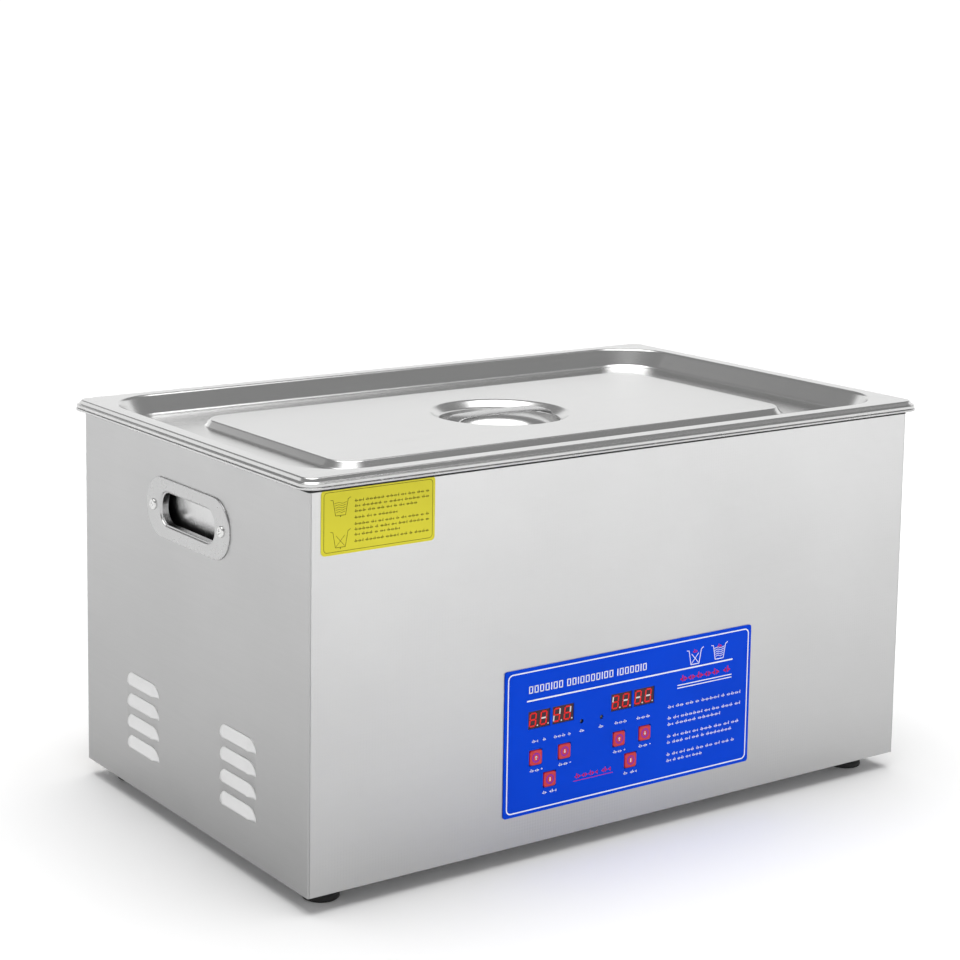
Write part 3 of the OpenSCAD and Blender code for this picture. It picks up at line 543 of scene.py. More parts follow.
def steel_material(name: str, finish: SteelFinish) -> bpy.types.Material:
    """Rolled metal: stretched grain, cloudy tone, and a pressed lozenge pattern where it has one.

    Args:
        name: Material name.
        finish: Its numbers.

    Returns:
        The material.
    """
    material, tree = start_material(name)
    nodes, links = tree.nodes, tree.links
    place = nodes.new("ShaderNodeTexCoord")
    place.label = "place on the sheet"
    stretch = nodes.new("ShaderNodeMapping")
    stretch.label = "stretch along the rolling direction"
    stretch.inputs["Scale"].default_value = finish.grain
    grain = nodes.new("ShaderNodeTexNoise")
    grain.label = "rolling grain"
    grain.inputs["Scale"].default_value = 1.0
    grain.inputs["Detail"].default_value = 3.0
    grain.inputs["Roughness"].default_value = 0.6
    sheen = nodes.new("ShaderNodeMapRange")
    sheen.label = "grain to roughness"
    sheen.inputs["To Min"].default_value = finish.roughness - finish.grain_sheen
    sheen.inputs["To Max"].default_value = finish.roughness + finish.grain_sheen
    relief = nodes.new("ShaderNodeBump")
    relief.label = "grain relief"
    relief.inputs["Strength"].default_value = 0.6
    relief.inputs["Distance"].default_value = finish.grain_depth

    cloud = nodes.new("ShaderNodeTexNoise")
    cloud.label = "cloudy patches"
    cloud.inputs["Scale"].default_value = 9.0
    cloud.inputs["Detail"].default_value = 4.0
    tone = nodes.new("ShaderNodeValToRGB")
    tone.label = "tone of the sheet"
    dark = tuple(c * (1 - finish.mottle) for c in finish.colour)
    tone.color_ramp.elements[0].position = 0.3
    tone.color_ramp.elements[0].color = (*dark, 1)
    tone.color_ramp.elements[1].position = 0.7
    tone.color_ramp.elements[1].color = (*finish.colour, 1)

    shader = nodes.new("ShaderNodeBsdfPrincipled")
    shader.label = "metal"
    shader.inputs["Metallic"].default_value = 1.0
    output = nodes.new("ShaderNodeOutputMaterial")
    output.label = "surface"

    links.new(place.outputs["Object"], stretch.inputs["Vector"])
    links.new(stretch.outputs["Vector"], grain.inputs["Vector"])
    links.new(grain.outputs["Fac"], sheen.inputs["Value"])
    links.new(grain.outputs["Fac"], relief.inputs["Height"])
    links.new(place.outputs["Object"], cloud.inputs["Vector"])
    links.new(cloud.outputs["Fac"], tone.inputs["Fac"])
    links.new(sheen.outputs["Result"], shader.inputs["Roughness"])
    links.new(shader.outputs["BSDF"], output.inputs["Surface"])
    groups = {
        "rolling grain": [place, stretch, grain, sheen, relief],
        "tone": [cloud, tone],
        "surface": [shader, output],
    }
    # Painted light and shade: the colour is multiplied by a ramp on height, darker at the sheet's foot and
    # paler towards its rim, standing in for how the studio light falls on it.
    if finish.fade == (1.0, 1.0):
        links.new(tone.outputs["Color"], shader.inputs["Base Color"])
    else:
        spot = nodes.new("ShaderNodeSeparateXYZ")
        spot.label = "height for painted shade"
        rise = nodes.new("ShaderNodeMapRange")
        rise.label = "painted shade at foot, painted light at rim"
        rise.inputs["From Max"].default_value = 0.28
        rise.inputs["To Min"].default_value = finish.fade[0]
        rise.inputs["To Max"].default_value = finish.fade[1]
        painted_shade_mix = nodes.new("ShaderNodeMix")
        painted_shade_mix.label = "painted shade and light by height"
        painted_shade_mix.data_type = "RGBA"
        painted_shade_mix.blend_type = "MULTIPLY"
        painted_shade_mix.inputs["Factor"].default_value = 1.0
        links.new(place.outputs["Object"], spot.inputs["Vector"])
        links.new(spot.outputs["Z"], rise.inputs["Value"])
        links.new(tone.outputs["Color"], painted_shade_mix.inputs["A"])
        links.new(rise.outputs["Result"], painted_shade_mix.inputs["B"])
        links.new(painted_shade_mix.outputs["Result"], shader.inputs["Base Color"])
        groups["height"] = [spot, rise, painted_shade_mix]
    if finish.dimple > 0:
        turn = nodes.new("ShaderNodeMapping")
        turn.label = "lozenges stand on their points"
        turn.inputs["Rotation"].default_value = (0.0, math.radians(45), 0.0)
        turn.inputs["Scale"].default_value = (math.tau / finish.dimple,) * 3
        part = nodes.new("ShaderNodeSeparateXYZ")
        part.label = "across and along"
        across = nodes.new("ShaderNodeMath")
        across.label = "ridges one way"
        across.operation = "SINE"
        along = nodes.new("ShaderNodeMath")
        along.label = "ridges the other way"
        along.operation = "SINE"
        cross = nodes.new("ShaderNodeMath")
        cross.label = "lozenges"
        cross.operation = "MULTIPLY"
        press = nodes.new("ShaderNodeBump")
        press.label = "pressed lozenges"
        press.inputs["Strength"].default_value = 0.8
        press.inputs["Distance"].default_value = finish.dimple_depth
        links.new(place.outputs["Object"], turn.inputs["Vector"])
        links.new(turn.outputs["Vector"], part.inputs["Vector"])
        links.new(part.outputs["X"], across.inputs[0])
        links.new(part.outputs["Z"], along.inputs[0])
        links.new(across.outputs["Value"], cross.inputs[0])
        links.new(along.outputs["Value"], cross.inputs[1])
        links.new(cross.outputs["Value"], press.inputs["Height"])
        links.new(relief.outputs["Normal"], press.inputs["Normal"])
        links.new(press.outputs["Normal"], shader.inputs["Normal"])
        groups["pressed pattern"] = [turn, part, across, along, cross, press]
    else:
        links.new(relief.outputs["Normal"], shader.inputs["Normal"])
    group_nodes(tree, groups)
    return material


def moulded_material(name: str, finish: MouldedFinish) -> bpy.types.Material:
    """Moulded or fired material: speckle, soft patches of tone, and dust where it gathers.

    Args:
        name: Material name.
        finish: Its numbers.

    Returns:
        The material.
    """
    material, tree = start_material(name)
    nodes, links = tree.nodes, tree.links
    place = nodes.new("ShaderNodeTexCoord")
    place.label = "place on the moulding"
    speckle = nodes.new("ShaderNodeTexNoise")
    speckle.label = "mould texture"
    speckle.inputs["Scale"].default_value = finish.grain
    speckle.inputs["Detail"].default_value = 3.0
    relief = nodes.new("ShaderNodeBump")
    relief.label = "texture relief"
    relief.inputs["Strength"].default_value = 0.5
    relief.inputs["Distance"].default_value = finish.depth
    sheen = nodes.new("ShaderNodeMapRange")
    sheen.label = "texture to roughness"
    sheen.inputs["To Min"].default_value = max(finish.roughness - 0.08, 0.05)
    sheen.inputs["To Max"].default_value = min(finish.roughness + 0.08, 1.0)

    patch = nodes.new("ShaderNodeTexNoise")
    patch.label = "patches of tone"
    patch.inputs["Scale"].default_value = 60.0
    patch.inputs["Detail"].default_value = 4.0
    tone = nodes.new("ShaderNodeValToRGB")
    tone.label = "tone of the moulding"
    light = tuple(min(c * (1 + finish.mottle) + 0.004, 1.0) for c in finish.colour)
    tone.color_ramp.elements[0].position = 0.35
    tone.color_ramp.elements[0].color = (*finish.colour, 1)
    tone.color_ramp.elements[1].position = 0.75
    tone.color_ramp.elements[1].color = (*light, 1)

    gather = nodes.new("ShaderNodeMapRange")
    gather.label = "where dust gathers"
    gather.inputs["From Min"].default_value = 0.55
    gather.inputs["From Max"].default_value = 0.8
    gather.inputs["To Max"].default_value = finish.dust
    dusty = nodes.new("ShaderNodeMix")
    dusty.label = "pale dust"
    dusty.data_type = "RGBA"
    dusty.inputs["B"].default_value = (0.42, 0.41, 0.39, 1)

    shader = nodes.new("ShaderNodeBsdfPrincipled")
    shader.label = "moulding"
    shader.inputs["Coat Weight"].default_value = finish.coat
    shader.inputs["Coat Roughness"].default_value = 0.12
    output = nodes.new("ShaderNodeOutputMaterial")
    output.label = "surface"

    links.new(place.outputs["Object"], speckle.inputs["Vector"])
    links.new(place.outputs["Object"], patch.inputs["Vector"])
    links.new(speckle.outputs["Fac"], relief.inputs["Height"])
    links.new(speckle.outputs["Fac"], sheen.inputs["Value"])
    links.new(speckle.outputs["Fac"], gather.inputs["Value"])
    links.new(patch.outputs["Fac"], tone.inputs["Fac"])
    links.new(gather.outputs["Result"], dusty.inputs["Factor"])
    links.new(tone.outputs["Color"], dusty.inputs["A"])
    links.new(dusty.outputs["Result"], shader.inputs["Base Color"])
    links.new(sheen.outputs["Result"], shader.inputs["Roughness"])
    links.new(relief.outputs["Normal"], shader.inputs["Normal"])
    links.new(shader.outputs["BSDF"], output.inputs["Surface"])
    group_nodes(tree, {
        "mould texture": [place, speckle, relief, sheen],
        "tone": [patch, tone],
        "dust": [gather, dusty],
        "surface": [shader, output],
    })
    return material


def film_material(name: str, finish: FilmFinish) -> bpy.types.Material:
    """Printed film or ink: faint patches of shade under a fine textured gloss.

    Args:
        name: Material name.
        finish: Its numbers.

    Returns:
        The material.
    """
    material, tree = start_material(name)
    nodes, links = tree.nodes, tree.links
    place = nodes.new("ShaderNodeTexCoord")
    place.label = "place on the film"
    density = nodes.new("ShaderNodeTexNoise")
    density.label = "ink density"
    density.inputs["Scale"].default_value = 14.0
    density.inputs["Detail"].default_value = 5.0
    tone = nodes.new("ShaderNodeValToRGB")
    tone.label = "tone of the ink"
    tone.color_ramp.elements[0].position = 0.25
    tone.color_ramp.elements[0].color = (*finish.shade, 1)
    tone.color_ramp.elements[1].position = 0.75
    tone.color_ramp.elements[1].color = (*finish.colour, 1)
    peel = nodes.new("ShaderNodeTexNoise")
    peel.label = "film texture"
    peel.inputs["Scale"].default_value = 1400.0
    peel.inputs["Detail"].default_value = 2.0
    relief = nodes.new("ShaderNodeBump")
    relief.label = "film relief"
    relief.inputs["Strength"].default_value = 0.5
    relief.inputs["Distance"].default_value = finish.peel
    sheen = nodes.new("ShaderNodeMapRange")
    sheen.label = "texture to roughness"
    sheen.inputs["To Min"].default_value = max(finish.roughness - 0.05, 0.05)
    sheen.inputs["To Max"].default_value = finish.roughness + 0.05
    shader = nodes.new("ShaderNodeBsdfPrincipled")
    shader.label = "film"
    shader.inputs["Coat Weight"].default_value = finish.coat
    shader.inputs["Coat Roughness"].default_value = 0.2
    shader.inputs["Specular IOR Level"].default_value = 0.05
    shader.inputs["Emission Strength"].default_value = finish.glow
    shader.inputs["Emission Color"].default_value = (*finish.colour, 1)
    output = nodes.new("ShaderNodeOutputMaterial")
    output.label = "surface"

    links.new(place.outputs["Object"], density.inputs["Vector"])
    links.new(place.outputs["Object"], peel.inputs["Vector"])
    links.new(density.outputs["Fac"], tone.inputs["Fac"])
    links.new(peel.outputs["Fac"], relief.inputs["Height"])
    links.new(peel.outputs["Fac"], sheen.inputs["Value"])
    links.new(tone.outputs["Color"], shader.inputs["Base Color"])
    links.new(sheen.outputs["Result"], shader.inputs["Roughness"])
    links.new(relief.outputs["Normal"], shader.inputs["Normal"])
    links.new(shader.outputs["BSDF"], output.inputs["Surface"])
    group_nodes(tree, {
        "ink": [place, density, tone],
        "film texture": [peel, relief, sheen],
        "surface": [shader, output],
    })
    return material


def laminate_material(name: str) -> bpy.types.Material:
    """Circuit board: green lacquer over copper tracks, with glass weave under it.

    Args:
        name: Material name.

    Returns:
        The material.
    """
    material, tree = start_material(name)
    nodes, links = tree.nodes, tree.links
    place = nodes.new("ShaderNodeTexCoord")
    place.label = "place on the board"
    tracks = nodes.new("ShaderNodeTexBrick")
    tracks.label = "track pattern"
    tracks.inputs["Scale"].default_value = 90.0
    tracks.inputs["Color1"].default_value = (0.012, 0.11, 0.045, 1)
    tracks.inputs["Color2"].default_value = (0.016, 0.13, 0.055, 1)
    tracks.inputs["Mortar"].default_value = (0.05, 0.24, 0.10, 1)
    tracks.inputs["Mortar Size"].default_value = 0.06
    weave = nodes.new("ShaderNodeTexNoise")
    weave.label = "glass weave"
    weave.inputs["Scale"].default_value = 1600.0
    relief = nodes.new("ShaderNodeBump")
    relief.label = "track relief"
    relief.inputs["Strength"].default_value = 0.4
    relief.inputs["Distance"].default_value = 0.00003
    shader = nodes.new("ShaderNodeBsdfPrincipled")
    shader.label = "lacquer"
    shader.inputs["Roughness"].default_value = 0.32
    output = nodes.new("ShaderNodeOutputMaterial")
    output.label = "surface"
    links.new(place.outputs["Object"], tracks.inputs["Vector"])
    links.new(place.outputs["Object"], weave.inputs["Vector"])
    links.new(tracks.outputs["Color"], shader.inputs["Base Color"])
    links.new(weave.outputs["Fac"], relief.inputs["Height"])
    links.new(relief.outputs["Normal"], shader.inputs["Normal"])
    links.new(shader.outputs["BSDF"], output.inputs["Surface"])
    group_nodes(tree, {
        "tracks": [place, tracks],
        "weave": [weave, relief],
        "surface": [shader, output],
    })
    return material


class Finishes:
    """All the finishes of the machine, made once and shared."""

    def __init__(self) -> None:
        """Makes every material."""
        # The front and side sheets carry painted shade and light by height: darker at the foot, paler towards
        # the rim.
        self.front_steel = steel_material("front_sheet", SteelFinish(
            (0.60, 0.60, 0.60), 0.36, grain=(14, 14, 700), grain_depth=0.000004,
            dimple=0.0031, dimple_depth=0.00003, fade=(0.77, 1.19)))
        self.side_steel = steel_material("side_sheet", SteelFinish(
            (0.45, 0.45, 0.45), 0.38, grain=(14, 14, 700), grain_depth=0.000004, fade=(0.82, 1.18)))
        self.lid_steel = steel_material("lid_sheet", SteelFinish(
            (0.63, 0.63, 0.627), 0.24, grain=(14, 380, 380), grain_depth=0.000003, grain_sheen=0.03,
            mottle=0.03))
        self.bright_steel = steel_material("bright_steel", SteelFinish(
            (0.74, 0.74, 0.735), 0.2, grain=(160, 160, 160), grain_depth=0.000003, grain_sheen=0.03))
        # Painted light: the louvre hoods are the same sheet as the sides but get this paler copy of its steel,
        # standing in for the light they catch.
        self.louvre_painted_light_steel = steel_material("side_steel_painted_paler", SteelFinish(
            (0.66, 0.66, 0.66), 0.34, grain=(14, 14, 700), grain_depth=0.000004))
        self.handle_steel = steel_material("handle_plate", SteelFinish(
            (0.52, 0.52, 0.52), 0.27, grain=(60, 60, 60), grain_depth=0.000003, grain_sheen=0.03))
        self.tank_steel = steel_material("tank_sheet", SteelFinish(
            (0.64, 0.64, 0.64), 0.26, grain=(120, 120, 24), grain_depth=0.000004))
        self.plain_steel = steel_material("plated_sheet", SteelFinish(
            (0.52, 0.52, 0.53), 0.42, grain=(60, 60, 60), grain_depth=0.000006, mottle=0.12))
        self.basket_wire = steel_material("basket_wire", SteelFinish(
            (0.62, 0.62, 0.62), 0.28, grain=(300, 300, 300), grain_depth=0.000004, mottle=0.1))
        self.brass = steel_material("brass", SteelFinish(
            (0.78, 0.57, 0.26), 0.3, grain=(300, 300, 300), grain_depth=0.000004, mottle=0.15))
        self.aluminium = steel_material("aluminium", SteelFinish(
            (0.72, 0.73, 0.74), 0.42, grain=(60, 900, 60), grain_depth=0.000008, mottle=0.08))
        self.rubber = moulded_material("black_rubber", MouldedFinish(
            (0.008, 0.008, 0.008), 0.75, depth=0.00004, dust=0.02))
        self.black_plastic = moulded_material("black_plastic", MouldedFinish(
            (0.016, 0.016, 0.017), 0.42, dust=0.04))
        self.key_red = moulded_material("key_plastic", MouldedFinish(
            (0.56, 0.012, 0.02), 0.45, mottle=0.1, coat=0.08))
        self.rocker = moulded_material("rocker_plastic", MouldedFinish(
            (0.55, 0.012, 0.012), 0.28, mottle=0.1, coat=0.4))
        self.sleeve = moulded_material("lever_sleeve", MouldedFinish(
            (0.62, 0.02, 0.015), 0.4, mottle=0.1, coat=0.3))
        self.smoked = moulded_material("led_plastic", MouldedFinish(
            (0.02, 0.022, 0.03), 0.2, mottle=0.1, coat=0.6))
        self.ferrite = moulded_material("ferrite", MouldedFinish((0.05, 0.05, 0.052), 0.6, mottle=0.3))
        self.capacitor = moulded_material("capacitor_sleeve", MouldedFinish((0.02, 0.05, 0.16), 0.35, coat=0.3))
        self.grey_cable = moulded_material("grey_cable", MouldedFinish((0.35, 0.35, 0.36), 0.5))
        self.red_wire = moulded_material("red_wire", MouldedFinish((0.6, 0.03, 0.02), 0.45))
        self.ceramic = moulded_material("piezo_ceramic", MouldedFinish((0.35, 0.24, 0.15), 0.6, mottle=0.25))
        self.silicone = moulded_material("silicone", MouldedFinish((0.6, 0.16, 0.03), 0.6, grain=900))
        self.ptfe = moulded_material("ptfe", MouldedFinish((0.85, 0.85, 0.83), 0.45, mottle=0.03))
        self.board = laminate_material("board_laminate")
        self.overlay = film_material("overlay_film", FilmFinish(
            (0.0, 0.062, 0.70), (0.0, 0.05, 0.60), 0.42, coat=0.0))
        self.label = film_material("label_film", FilmFinish(
            (0.72, 0.66, 0.05), (0.68, 0.62, 0.045), 0.45, coat=0.1))
        self.white_ink = film_material("white_ink", FilmFinish(
            (0.92, 0.93, 0.95), (0.84, 0.86, 0.9), 0.5, coat=0.0))
        self.red_ink = film_material("red_ink", FilmFinish(
            (0.72, 0.02, 0.08), (0.62, 0.02, 0.1), 0.5, coat=0.0))
        self.blue_ink = film_material("blue_ink", FilmFinish(
            (0.10, 0.03, 0.62), (0.08, 0.02, 0.5), 0.5, coat=0.0))
        self.dark_ink = film_material("dark_ink", FilmFinish(
            (0.10, 0.085, 0.012), (0.07, 0.06, 0.01), 0.5, coat=0.0))
        self.display = film_material("display_face", FilmFinish(
            (0.055, 0.022, 0.03), (0.045, 0.016, 0.022), 0.25, coat=0.4))
        self.lit = film_material("lit_segment", FilmFinish(
            (0.80, 0.02, 0.02), (0.74, 0.016, 0.016), 0.4, coat=0.05, glow=0.12))
        self.unlit = film_material("unlit_segment", FilmFinish(
            (0.80, 0.74, 0.74), (0.72, 0.66, 0.66), 0.35, coat=0.2))


# Lid, tank and basket ---------------------------------------------------------


@dataclass
class Lid:
    """Pressed lid with its stepped skirt, well, groove, raised panel and handle bowl.

    Half widths are along x; the y half sizes are smaller by skew. All in millimetres.
    """

    finishes: Finishes
    skew: float = 102.5
    top: float = 280.0
    edge: float = 264.4
    skirt_bottom: float = 274.7
    skirt_centre: float = 253.0
    well_centre: float = 208.5
    panel_centre: float = 178.0
    groove_z: float = 266.0
    panel_z: float = 271.0
    bowl_floor: float = 253.0
    thickness: float = 0.9
    steps: int = 23
    bar_half: float = 43.0
    bar_width: float = 16.0
    bar_thickness: float = 1.6

    def corner(self, centre: float) -> Point:
        """Half distances between a ring's corner centres, in metres."""
        return (centre * MM, (centre - self.skew) * MM)

    def ring(self, bm: bmesh.types.BMesh, centre: float, points: Sequence[tuple[float, float, float]],
             arc: int) -> None:
        """Sweeps one ring of the pressing.

        Args:
            bm: Mesh that takes the ring.
            centre: Half distance between the corner centres along x.
            points: Profile corners as (half width, height, radius).
            arc: Segments in each rounded corner of the profile.
        """
        part = bmesh.new()
        path = [((x - centre) * MM, z * MM) for x, z in rounded(points, arc)]
        sweep_round_rect(part, path, self.corner(centre), self.steps)
        join_into(bm, part)

    def sheet(self) -> bmesh.types.BMesh:
        """Builds the pressing as one open sheet.

        Returns:
            The mesh.
        """
        bm = bmesh.new()
        self.ring(bm, self.skirt_centre, [
            (255.5, self.top, 0), (260.9, self.top, 1.5), (262.3, 277.3, 0.9), (264.4, 276.9, 0.8),
            (self.edge, self.skirt_bottom, 0)], 4)
        self.ring(bm, self.well_centre, [
            (253.5, self.top, 0), (249.75, self.top, 3.0), (241.83, self.groove_z, 4.0),
            (237.0, self.groove_z, 0)], 6)
        self.ring(bm, self.panel_centre, [
            (203.0, self.groove_z, 0), (199.6, self.groove_z, 1.8), (195.9, self.panel_z, 1.8),
            (192.5, self.panel_z, 0)], 4)
        bowl = rounded([(62, self.panel_z, 0), (51, self.panel_z, 6.0), (43.8, 266.4, 2.6),
                        (42.9, self.bowl_floor, 11.0), (0, self.bowl_floor, 0)], 7)
        lathe(bm, scaled(bowl), 4 * (self.steps + 1))
        bowl_rim = [e for e in bm.edges if e.is_boundary
                    and all(v.co.xy.length < 63 * MM for v in e.verts)]
        joins = (
            (self.skirt_centre, 255.5, self.well_centre, 253.5, self.top),
            (self.well_centre, 237.0, self.panel_centre, 203.0, self.groove_z),
        )
        for outer, outer_x, inner, inner_x, height in joins:
            loops = (ring_loop(bm, self.corner(outer), (outer_x - outer) * MM, height * MM)
                     + ring_loop(bm, self.corner(inner), (inner_x - inner) * MM, height * MM))
            fill_flat(bm, loops)
        panel_rim = ring_loop(bm, self.corner(self.panel_centre), (192.5 - self.panel_centre) * MM,
                              self.panel_z * MM)
        fill_flat(bm, panel_rim + bowl_rim)
        face_up(bm)
        return bm

    def bar(self) -> bmesh.types.BMesh:
        """Builds the bowed strap across the bowl.

        Returns:
            The mesh.
        """
        bm = bmesh.new()
        bmesh.ops.create_grid(bm, x_segments=36, y_segments=8, size=1.0)
        for vert in bm.verts:
            u, v = vert.co.x, vert.co.y
            sag = 1.2 * u * u + 3.4 * u ** 14 + 0.5 * v * v
            vert.co = (u * self.bar_half * MM, v * self.bar_width / 2 * MM, (self.panel_z + 1.5 - sag) * MM)
        face_up(bm)
        return bm

    def build(self, casing_y: float) -> None:
        """Makes the lid and its strap.

        Args:
            casing_y: World y of the casing's middle, in metres.
        """
        matrix = Facing.TOP.at(0, casing_y, 0)
        sheet = make_piece(self.sheet(), "lid_pressing", self.finishes.lid_steel, "lid",
                           ["lid"], matrix)
        add_wall(sheet, self.thickness * MM)
        bar = make_piece(self.bar(), "lid_strap", self.finishes.handle_steel, "lid",
                         ["lid_handle"], matrix)
        add_wall(bar, self.bar_thickness * MM)
        soften = bar.modifiers.new("edge", "BEVEL")
        soften.width = 0.45 * MM
        soften.segments = 3
        soften.limit_method = "ANGLE"
        bar.modifiers.move(2, 1)


@dataclass
class Tank:
    """Deep-drawn tank with its flat rim. Sizes in millimetres, as for the lid."""

    finishes: Finishes
    skew: float = 102.5
    edge: float = 265.0
    rim_top: float = 274.4
    rim_bottom: float = 273.0
    rim_centre: float = 252.4
    mouth: float = 250.5
    mouth_centre: float = 209.5
    floor: float = 128.4
    taper: float = 11.5
    thickness: float = 1.0
    steps: int = 14

    def sheet(self) -> bmesh.types.BMesh:
        """Builds rim, walls and floor as one open sheet.

        Returns:
            The mesh.
        """
        bm = bmesh.new()
        rings = (
            (self.rim_centre, [(self.edge, self.rim_bottom, 0), (self.edge, self.rim_top, 0.7),
                               (257.0, self.rim_top, 0)], 4),
            (self.mouth_centre, [(255.5, self.rim_top, 0), (self.mouth + 0.4, self.rim_top, 3.0),
                                 (self.mouth - self.taper, self.floor, 12.0), (222.0, self.floor, 0)], 7),
        )
        for centre, points, arc in rings:
            part = bmesh.new()
            path = [((x - centre) * MM, z * MM) for x, z in rounded(points, arc)]
            sweep_round_rect(part, path, (centre * MM, (centre - self.skew) * MM), self.steps)
            join_into(bm, part)
        rim = (self.rim_centre * MM, (self.rim_centre - self.skew) * MM)
        mouth = (self.mouth_centre * MM, (self.mouth_centre - self.skew) * MM)
        loops = (ring_loop(bm, rim, (257.0 - self.rim_centre) * MM, self.rim_top * MM)
                 + ring_loop(bm, mouth, (255.5 - self.mouth_centre) * MM, self.rim_top * MM))
        fill_flat(bm, loops)
        bottom = ring_loop(bm, mouth, (222.0 - self.mouth_centre) * MM, self.floor * MM)
        bmesh.ops.edgeloop_fill(bm, edges=bottom)
        face_up(bm)
        return bm

    def build(self, casing_y: float) -> None:
        """Makes the tank.

        Args:
            casing_y: World y of the casing's middle, in metres.
        """
        piece = make_piece(self.sheet(), "tank_pressing", self.finishes.tank_steel, "housing",
                           ["tank"], Facing.TOP.at(0, casing_y, 0))
        add_wall(piece, self.thickness * MM)
        dress("drain_strainer", self.finishes.bright_steel, 0.3 * MM)


@dataclass
class Basket:
    """Wire basket: a welded mesh tray on a heavier rim, end handles and legs. In millimetres."""

    finishes: Finishes
    length: float = 440.0
    width: float = 236.0
    corner: float = 20.0
    pitch: float = 8.0
    mesh_radius: float = 0.5
    rim_radius: float = 2.0
    grip_radius: float = 1.7
    grip_half: float = 60.0
    grip_rise: float = 14.0
    bend: float = 5.0

    def reach(self, across: float, half: float, half_across: float) -> float:
        """How far out a mesh wire runs before it turns up the wall.

        Args:
            across: The wire's distance from the middle line.
            half: Half size of the tray along the wire.
            half_across: Half size of the tray across the wire.

        Returns:
            Distance from the middle.
        """
        beyond = abs(across) - (half_across - self.corner)
        if beyond <= 0:
            return half
        return half - self.corner + math.sqrt(max(self.corner ** 2 - beyond ** 2, 0))

    def trough(self, half: float, floor: float, top: float) -> list[Point]:
        """Half of a mesh wire's way, from its bend to its top, as (distance, height)."""
        points = [(half - self.bend, floor, 0), (half, floor, self.bend - 0.5), (half, top, 0)]
        return rounded(points, 3)

    def outline(self, out: float, z: float, origin: Vector) -> list[tuple[float, float, float]]:
        """A closed wire round the tray.

        Args:
            out: How far outside the tray's wall it lies.
            z: Its height.
            origin: World place of the tray's middle, in metres.

        Returns:
            Points in metres.
        """
        points = []
        for quarter in range(4):
            sx = 1 if quarter in (0, 3) else -1
            sy = 1 if quarter < 2 else -1
            for step in range(7):
                angle = math.radians(90 * quarter + 15 * step)
                x = sx * (self.length / 2 - self.corner) + (self.corner + out) * math.cos(angle)
                y = sy * (self.width / 2 - self.corner) + (self.corner + out) * math.sin(angle)
                points.append((x * MM, origin.y + y * MM, z * MM))
        return points

    def build(self) -> None:
        """Makes the mesh and the frame in place of the CAD tray and frame."""
        low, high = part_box("basket_tray")
        origin = (low + high) / 2
        floor, top = low.z / MM + self.mesh_radius, high.z / MM - self.rim_radius
        mesh = bmesh.new()
        paths = []
        for along_x in (True, False):
            half = (self.length if along_x else self.width) / 2 - self.mesh_radius
            across_half = (self.width if along_x else self.length) / 2 - self.mesh_radius
            count = int((across_half - 4) / self.pitch)
            for index in range(-count, count + 1):
                across = index * self.pitch
                side = self.trough(self.reach(across, half, across_half), floor, top)
                line = [(-d, z) for d, z in reversed(side)] + side
                lift = 0 if along_x else 2 * self.mesh_radius * 0.8
                if along_x:
                    paths.append([(d * MM, origin.y + across * MM, z * MM) for d, z in line])
                else:
                    paths.append([(across * MM, origin.y + d * MM, max(z, floor + lift) * MM) for d, z in line])
        wire_part(mesh, paths, self.mesh_radius * MM, sides=0)
        rings = int((top - floor) / self.pitch)
        loops = [self.outline(-0.5 - self.mesh_radius, floor + 7 + i * self.pitch,
                              origin) for i in range(rings)]
        wire_part(mesh, loops, self.mesh_radius * MM, closed=True, sides=0)
        make_piece(mesh, "basket_mesh", self.finishes.basket_wire, "basket", ["basket_tray"])

        bars = bmesh.new()
        wire_part(bars, [self.outline(self.rim_radius, top, origin)], self.rim_radius * MM, closed=True,
                  sides=4)
        grips = []
        for side in (-1, 1):
            x = side * (self.length / 2 + self.rim_radius) * MM
            arch = rounded([(-self.grip_half, top, 0), (-self.grip_half, top + self.grip_rise, 6),
                            (self.grip_half, top + self.grip_rise, 6), (self.grip_half, top, 0)], 6)
            grips.append([(x, origin.y + y * MM, z * MM) for y, z in arch])
        wire_part(bars, grips, self.grip_radius * MM, sides=4)
        legs_low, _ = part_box("basket_frame")
        for sx in (-1, 1):
            for sy in (-1, 1):
                spot = ((self.length / 2 - 48) * sx * MM, origin.y + (self.width / 2 - 38) * sy * MM,
                        legs_low.z)
                rise = low.z - legs_low.z
                pad = rounded([(0, 0, 0), (4, 0, 1.2), (4, 8, 0.5), (2.2, rise / MM - 1, 1),
                               (2.2, rise / MM, 0),
                               (0, rise / MM, 0)], 3)
                lathe(bars, scaled(pad), 20, Matrix.Translation(spot))
        make_piece(bars, "basket_bars", self.finishes.bright_steel, "basket", ["basket_frame"])


# Casing -----------------------------------------------------------------------


